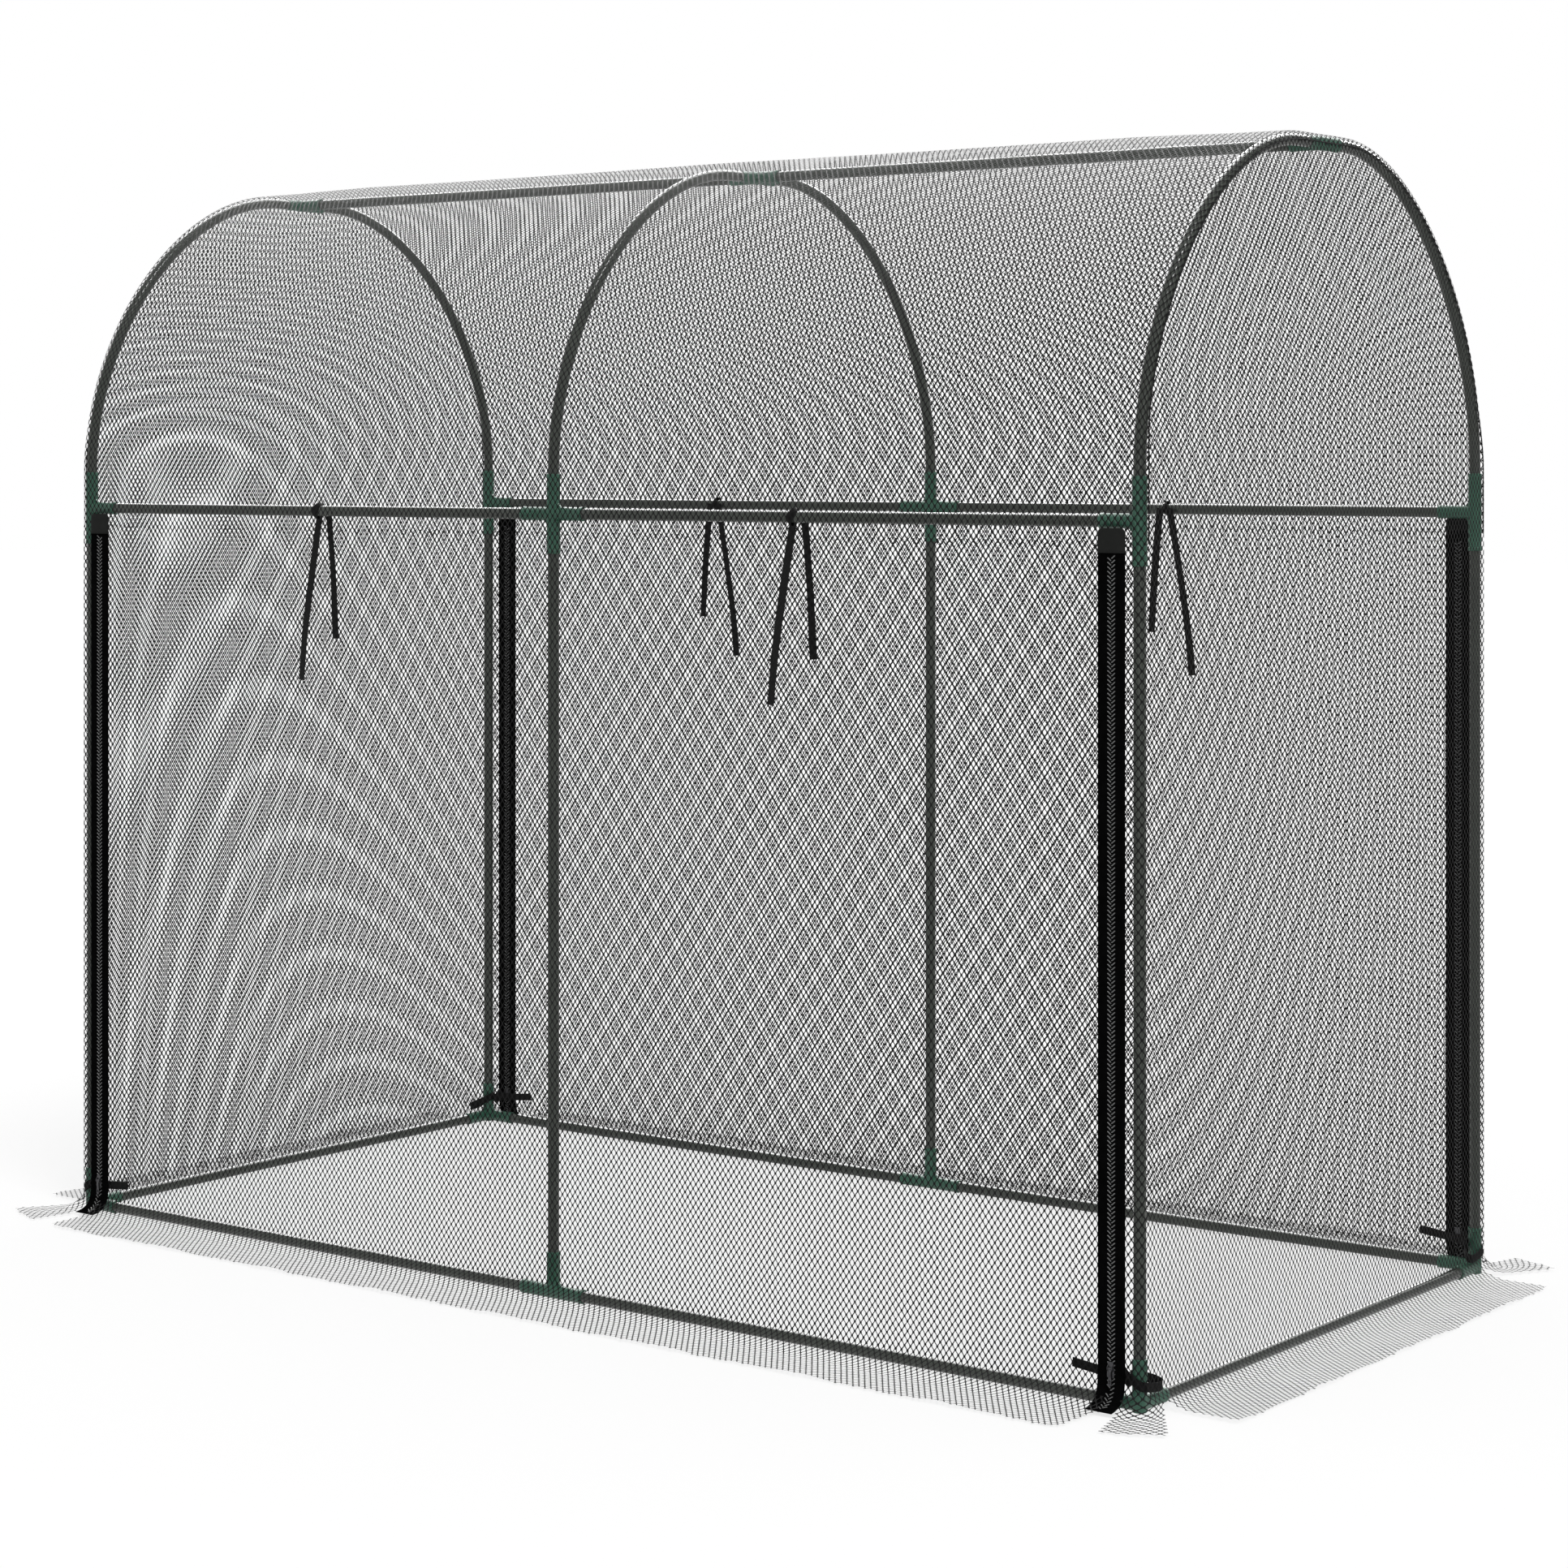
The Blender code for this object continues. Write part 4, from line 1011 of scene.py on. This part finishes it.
def footCurve():
    pulls = [Vector((out, z, 0)) for out, z in ((0, zips["footBend"]), *zips["footPulls"])]
    return [p.xy for p in interpolate_bezier(*pulls, zips["footSteps"])]


# Bends what hangs below a height outwards onto the ground, along a curve of the same length
def bendFoot(mesh, sign):
    top, curve = zips["footBend"], footCurve()
    run = lengths(curve)
    for vert in mesh.vertices:
        below = top - vert.co.z
        if below > 0:
            k = max(j for j in range(len(run) - 1) if run[j] <= min(below, run[-2]))
            step = (curve[k + 1] - curve[k]) / (run[k + 1] - run[k])
            at = curve[k] + step * (below - run[k])
            out = sign * vert.co.y - cage["netY"]
            vert.co.y = sign * (cage["netY"] + at.x - step.y * out)
            vert.co.z = at.y + step.x * out
    mesh.update()


# Repeats the object's own mesh along a line
def repeatTree():
    tree = bpy.data.node_groups.new("repeatAlongLine", "GeometryNodeTree")
    addSockets(tree, [("Geometry", "Geometry"), ("Count", "Int"), ("Start", "Vector"), ("Step", "Vector"),
                      ("Material", "Material")], [("Geometry", "Geometry")])
    given = newNode(tree, "NodeGroupInput").outputs
    line = newNode(tree, "GeometryNodeMeshLine",
                   {"Count": given["Count"], "Start Location": given["Start"], "Offset": given["Step"]},
                   mode="OFFSET")
    copies = newNode(tree, "GeometryNodeInstanceOnPoints",
                     {"Points": line.outputs[0], "Instance": given["Geometry"]})
    real = newNode(tree, "GeometryNodeRealizeInstances", {0: copies.outputs[0]})
    done = newNode(tree, "GeometryNodeSetMaterial",
                   {"Geometry": real.outputs[0], "Material": given["Material"]})
    newNode(tree, "NodeGroupOutput", {0: done.outputs[0]})
    return tree


repeat = repeatTree()


# A row of slanted teeth on one tape, which lies on the given side of the zip's middle
def toothRow(x, sign, direction, low, high, shift=0.0):
    (near, far), (thick, tall), (easeIn, easeOut) = zips["tooth"], zips["toothRadius"], zips["toothEnds"]
    slant, pitch = zips["toothSlant"], zips["toothPitch"]
    path = [(near, 0, -slant), (near + easeIn, 0, -slant), ((near + far) / 2, 0, 0),
            (far - easeOut, 0, slant), (far, 0, slant)]
    section = [(tall * cos(t), thick * sin(t)) for t in angles(zips["toothSides"])]
    tooth = sweep("tooth", path, section, (0, 1, 0))
    if direction < 0:
        tooth.data.transform(Matrix.Diagonal((-1, 1, 1, 1)))
        finishNormals(tooth.data)
    useTree(tooth, repeat, Count=int((high - low) / pitch), Step=(0.0, 0.0, pitch),
            Start=(x, sign * cage["netY"], low + shift * pitch), Material=materials["zipCoil"])
    return tooth


def zipTape(x, sign, direction, low, high, laps=False):
    rows = max(2, int((high - low) / zips["rowStep"]))
    path = [(x, sign * cage["netY"], low + (high - low) * k / rows) for k in range(rows + 1)]
    section = [(-direction * a, sign * b) for a, b in tapeSection(laps)]
    return sweep("tape", path, section if direction * sign > 0 else section[::-1], (0, 1, 0))


# The zip's top end is kept under a small patch, a little domed, with round upper corners
def zipGuard(x, sign):
    (low, high), corner, half = zips["guard"], zips["guardCorner"], zips["guardColumns"]
    wide = cage["tapeWidth"]
    rows = [(low + (high - corner - low) * k / 6, wide) for k in range(7)]
    rows += [(high - corner * (1 - sin(t)), wide - corner * (1 - cos(t)))
             for t in (pi / 2 * k / 5 for k in range(1, 6))]
    shares, size = [j / half for j in range(-half, half + 1)], 2 * half + 1
    out = [cage["netY"] + zips["guardOut"] * (1 - t ** 6) + zips["guardBulge"] * (1 - t * t) for t in shares]
    points = [(x + across * t, sign * y, z) for z, across in rows for t, y in zip(shares, out)]
    faces = [(at, at + 1, at + size + 1, at + size)
             for at in (size * k + j for k in range(len(rows) - 1) for j in range(size - 1))]
    patch = solid("guard", points, faces)
    cloth = patch.modifiers.new("cloth", "SOLIDIFY")
    cloth.thickness, cloth.offset = zips["tapeThickness"], 0.0
    return patch


# The fixed half stays, the door's half is squashed with its net, and the foot of it rides on the skirt
def buildZips():
    seam, skirtTop, pitch = cage["seam"], skirt["doorTop"], zips["toothPitch"]
    footEnd = zips["footBend"] - lengths(footCurve())[-1]
    firstTooth, lastTooth = footEnd + zips["plainFoot"], seam - zips["plainTop"]
    doorTooth = firstTooth + int((skirtTop - firstTooth) / pitch) * pitch
    for side, sign in sideSigns.items():
        door = f"{side}_door"
        for name, body, finish, make in (
                (f"zipTapes_{side}_fixed", "root", "zipTape",
                 lambda x, out: zipTape(x, sign, out, footEnd, seam, True)),
                (f"zipTapes_{side}_door", "root", "zipTape",
                 lambda x, out: zipTape(x, sign, -out, skirtTop - zips["overlap"], seam)),
                (f"zipFeet_{side}", door, "zipTape",
                 lambda x, out: zipTape(x, sign, -out, footEnd, skirtTop)),
                (f"zipGuards_{side}", "root", "zipGuard",
                 lambda x, out: zipGuard(x, sign)),
                (f"zipTeeth_{side}_fixed", "root", "zipCoil",
                 lambda x, out: toothRow(x, sign, out, firstTooth, lastTooth, 0.5)),
                (f"zipTeeth_{side}_door", "root", "zipCoil",
                 lambda x, out: toothRow(x, sign, -out, doorTooth + pitch, lastTooth)),
                (f"zipTeeth_{side}_feet", door, "zipCoil",
                 lambda x, out: toothRow(x, sign, -out, firstTooth, doorTooth + 1e-5))):
            piece = plainPiece(name, *[make(end * cage["zipX"], end) for end in endSigns.values()])
            bendFoot(piece.data, sign)
            dress(piece, materials[finish], body)
            if name.endswith("_door"):
                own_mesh(piece)


buildZips()
print("crop cage: zips made")


# Sliders: two plates round the chain, two lugs with a pin, and a pull that hangs from it

slider = {
    "rest": 0.050, "plateThickness": 0.0012, "plateY": 0.0024, "web": (0.0002, 0.010), "bevel": 0.0003,
    "plate": [(0.0054, 0.0), (0.0065, 0.0016), (0.0065, 0.0100), (0.0054, 0.0175), (0.0048, 0.0236),
              (0.0036, 0.0250)],
    "lug": [(0.0024, 0.0088), (0.0046, 0.0102), (0.0066, 0.0132), (0.0066, 0.0168), (0.0046, 0.0194),
            (0.0024, 0.0208)],
    "lugX": 0.0041, "lugThickness": 0.0012, "corner": 0.0012, "pinY": 0.0051, "pinZ": 0.0150,
    "pin": (0.0051, 0.0011, 0.0003, 0.0004), "eye": (0.0029, 0.0017, 0.0003, 0.0003),
    "pull": [(0.0030, 0.0155), (0.0030, 0.0118), (0.0019, 0.0098), (0.0021, 0.0020), (0.0031, -0.0020),
             (0.0031, -0.0108), (0.0015, -0.0130)],
    "pullHole": (0.0012, -0.0062, 0.0028), "pullThickness": 0.0014, "rib": (0.0013, 0.00035, 0.0003, 0.00015),
    "ribs": (0.0032, 0.0044, 0.0056),
}


# Corners of an outline cut to short curves
def rounded(outline, radius):
    points = []
    for k, at in enumerate(outline):
        at = Vector(at)
        a, b = ((Vector(outline[j % len(outline)]) - at) for j in (k - 1, k + 1))
        a, b = (d.normalized() * min(radius, d.length * 0.45) for d in (a, b))
        points += [at + a * (1 - t) ** 2 + b * t * t for t in (0.0, 0.33, 0.67, 1.0)]
    return points


# A stamped plate with eased edges, from an outline and its holes
def stamped(name, outlines, thickness, matrix):
    curve = bpy.data.curves.new(name, "CURVE")
    curve.dimensions, curve.fill_mode = "2D", "BOTH"
    curve.extrude, curve.bevel_depth = thickness / 2 - slider["bevel"], slider["bevel"]
    curve.bevel_resolution, curve.offset = 1, -slider["bevel"]
    for outline in outlines:
        line = curve.splines.new("POLY")
        line.points.add(len(outline) - 1)
        line.points.foreach_set("co", [x for at in outline for x in (at[0], at[1], 0.0, 1.0)])
        line.use_cyclic_u = True
    obj = place(name, curve)
    obj.matrix_world = matrix
    return obj


def bothSides(half):
    return half + [(-x, z) for x, z in half[::-1]]


# A short bar across the slider, its ends eased by (along, on the radius)
def crossbar(name, facts, sides, at):
    half, radius, easeAlong, easeRadius = facts
    bar = turned(name, (1, 0, 0), [(-half, radius - easeRadius), (-half + easeAlong, radius),
                                   (half - easeAlong, radius), (half, radius - easeRadius)], sides)
    bar.matrix_world = Matrix.Translation(at)
    return bar


def buildSliders():
    facing = Matrix.Rotation(pi / 2, 4, "X")
    sideways = Matrix(((0, 0, -1, 0), (-1, 0, 0, 0), (0, 1, 0, 0), (0, 0, 0, 1)))
    plateY, pinY, pinZ, (half, top) = slider["plateY"], slider["pinY"], slider["pinZ"], slider["web"]
    plate, lug, pull = (rounded(shape, slider["corner"]) for shape in
                        (bothSides(slider["plate"]), slider["lug"], bothSides(slider["pull"])))
    pieces = [stamped("plate", [plate], slider["plateThickness"], Matrix.Translation((0, y, 0)) @ facing)
              for y in (-plateY, plateY)]
    web = [(-half, 0.0), (half, 0.0), (half, top), (-half, top)]
    edges = [(j, (j + 1) % 4, 4 + (j + 1) % 4, 4 + j) for j in range(4)]
    pieces.append(solid("web", [(x, y, z) for y in (-plateY, plateY) for x, z in web],
                        [(0, 1, 2, 3), (4, 5, 6, 7), *edges]))
    pieces += [stamped("lug", [lug], slider["lugThickness"], Matrix.Translation((x, 0, 0)) @ sideways)
               for x in (-slider["lugX"], slider["lugX"])]
    pieces += [crossbar("pin", slider["pin"], 16, (0, -pinY, pinZ)),
               crossbar("eye", slider["eye"], 20, (0, -pinY, pinZ))]
    x, z, tall = slider["pullHole"]
    hole = [(x * cos(t), z + tall / 2 * (1 if sin(t) > 0 else -1) + x * sin(t)) for t in angles(16, 0.5)]
    pieces.append(stamped("pull", [pull, hole], slider["pullThickness"],
                          Matrix.Translation((0, -pinY, 0)) @ facing))
    pieces += [crossbar("rib", slider["rib"], 10, (0, -pinY - slider["pullThickness"] / 2, z))
               for z in slider["ribs"]]
    shape = plainPiece("sliderShape", *pieces)
    finishNormals(shape.data, 35)
    for side, sign in sideSigns.items():
        turn = Matrix.Rotation(0 if sign < 0 else pi, 4, "Z")
        for end, endSign in endSigns.items():
            at = Matrix.Translation((endSign * cage["zipX"], sign * cage["netY"], slider["rest"]))
            mesh = shape.data.copy()
            mesh.transform(at @ turn)
            body = f"zip_slider_{side}_{end}"
            dress(place(f"zipSlider_{side}_{end}", mesh), materials["sliderMetal"], body, [body])
    bpy.data.objects.remove(shape, do_unlink=True)


buildSliders()
print("crop cage: sliders made")


# Floor and light

studio = {"ambient": 0.62, "floor": (0.82, 0.28), "floorLift": 0.745, "floorHalf": 40.0, "floorZ": -0.0006,
          "floorRough": 0.9, "sun": 1.25, "sunSoftness": 16.0, "sunFrom": (0.42, -0.22, 0.90),
          "glint": 8.0, "glintSoftness": 64.0, "glintFrom": (-0.38, 0.65, 0.66)}


def seenByCamera(tree):
    path = newNode(tree, "ShaderNodeLightPath").outputs
    return calc(tree, "MAXIMUM", calc(tree, "MAXIMUM", path["Is Camera Ray"], path["Is Glossy Ray"]),
                path["Is Transmission Ray"])


def buildWorld():
    world = bpy.data.worlds.new("studio")
    world.use_nodes = True
    tree = world.node_tree
    tree.nodes.clear()
    dim = newNode(tree, "ShaderNodeBackground", {"Color": (1, 1, 1, 1), "Strength": studio["ambient"]})
    white = newNode(tree, "ShaderNodeBackground", {"Color": (1, 1, 1, 1), "Strength": 1.0})
    mixed = newNode(tree, "ShaderNodeMixShader",
                    {0: seenByCamera(tree), 1: dim.outputs[0], 2: white.outputs[0]})
    newNode(tree, "ShaderNodeOutputWorld", {0: mixed.outputs[0]})
    scene.world = world


def buildFloor():
    material = bpy.data.materials.new("paleFloor")
    material.use_nodes = True
    tree = material.node_tree
    shader = tree.nodes["Principled BSDF"]
    seen = seenByCamera(tree)
    lit, shown = studio["floor"]
    tree.links.new(calc(tree, "MULTIPLY_ADD", seen, shown - lit, lit), shader.inputs["Base Color"])
    shader.inputs["Roughness"].default_value = studio["floorRough"]
    shader.inputs["Specular IOR Level"].default_value = 0.0
    shader.inputs["Emission Color"].default_value = (1, 1, 1, 1)
    tree.links.new(calc(tree, "MULTIPLY", seen, studio["floorLift"]), shader.inputs["Emission Strength"])
    mesh, half = bpy.data.meshes.new("floor"), studio["floorHalf"]
    outline = (-half, -half), (half, -half), (half, half), (-half, half)
    mesh.from_pydata([(x, y, studio["floorZ"]) for x, y in outline], [], [(0, 1, 2, 3)])
    mesh.materials.append(material)
    place("floor", mesh)


# The glint shows only in polished surfaces
def buildLamps():
    for name in ("sun", "glint"):
        light = bpy.data.lights.new(name, "SUN")
        light.energy, light.angle = studio[name], radians(studio[name + "Softness"])
        lamp = place(name, light)
        lamp.rotation_mode = "QUATERNION"
        lamp.rotation_quaternion = Vector(studio[name + "From"]).to_track_quat("Z", "Y")
        lamp.visible_diffuse = name != "glint"


buildWorld()
buildFloor()
buildLamps()
print("crop cage: floor and light set")
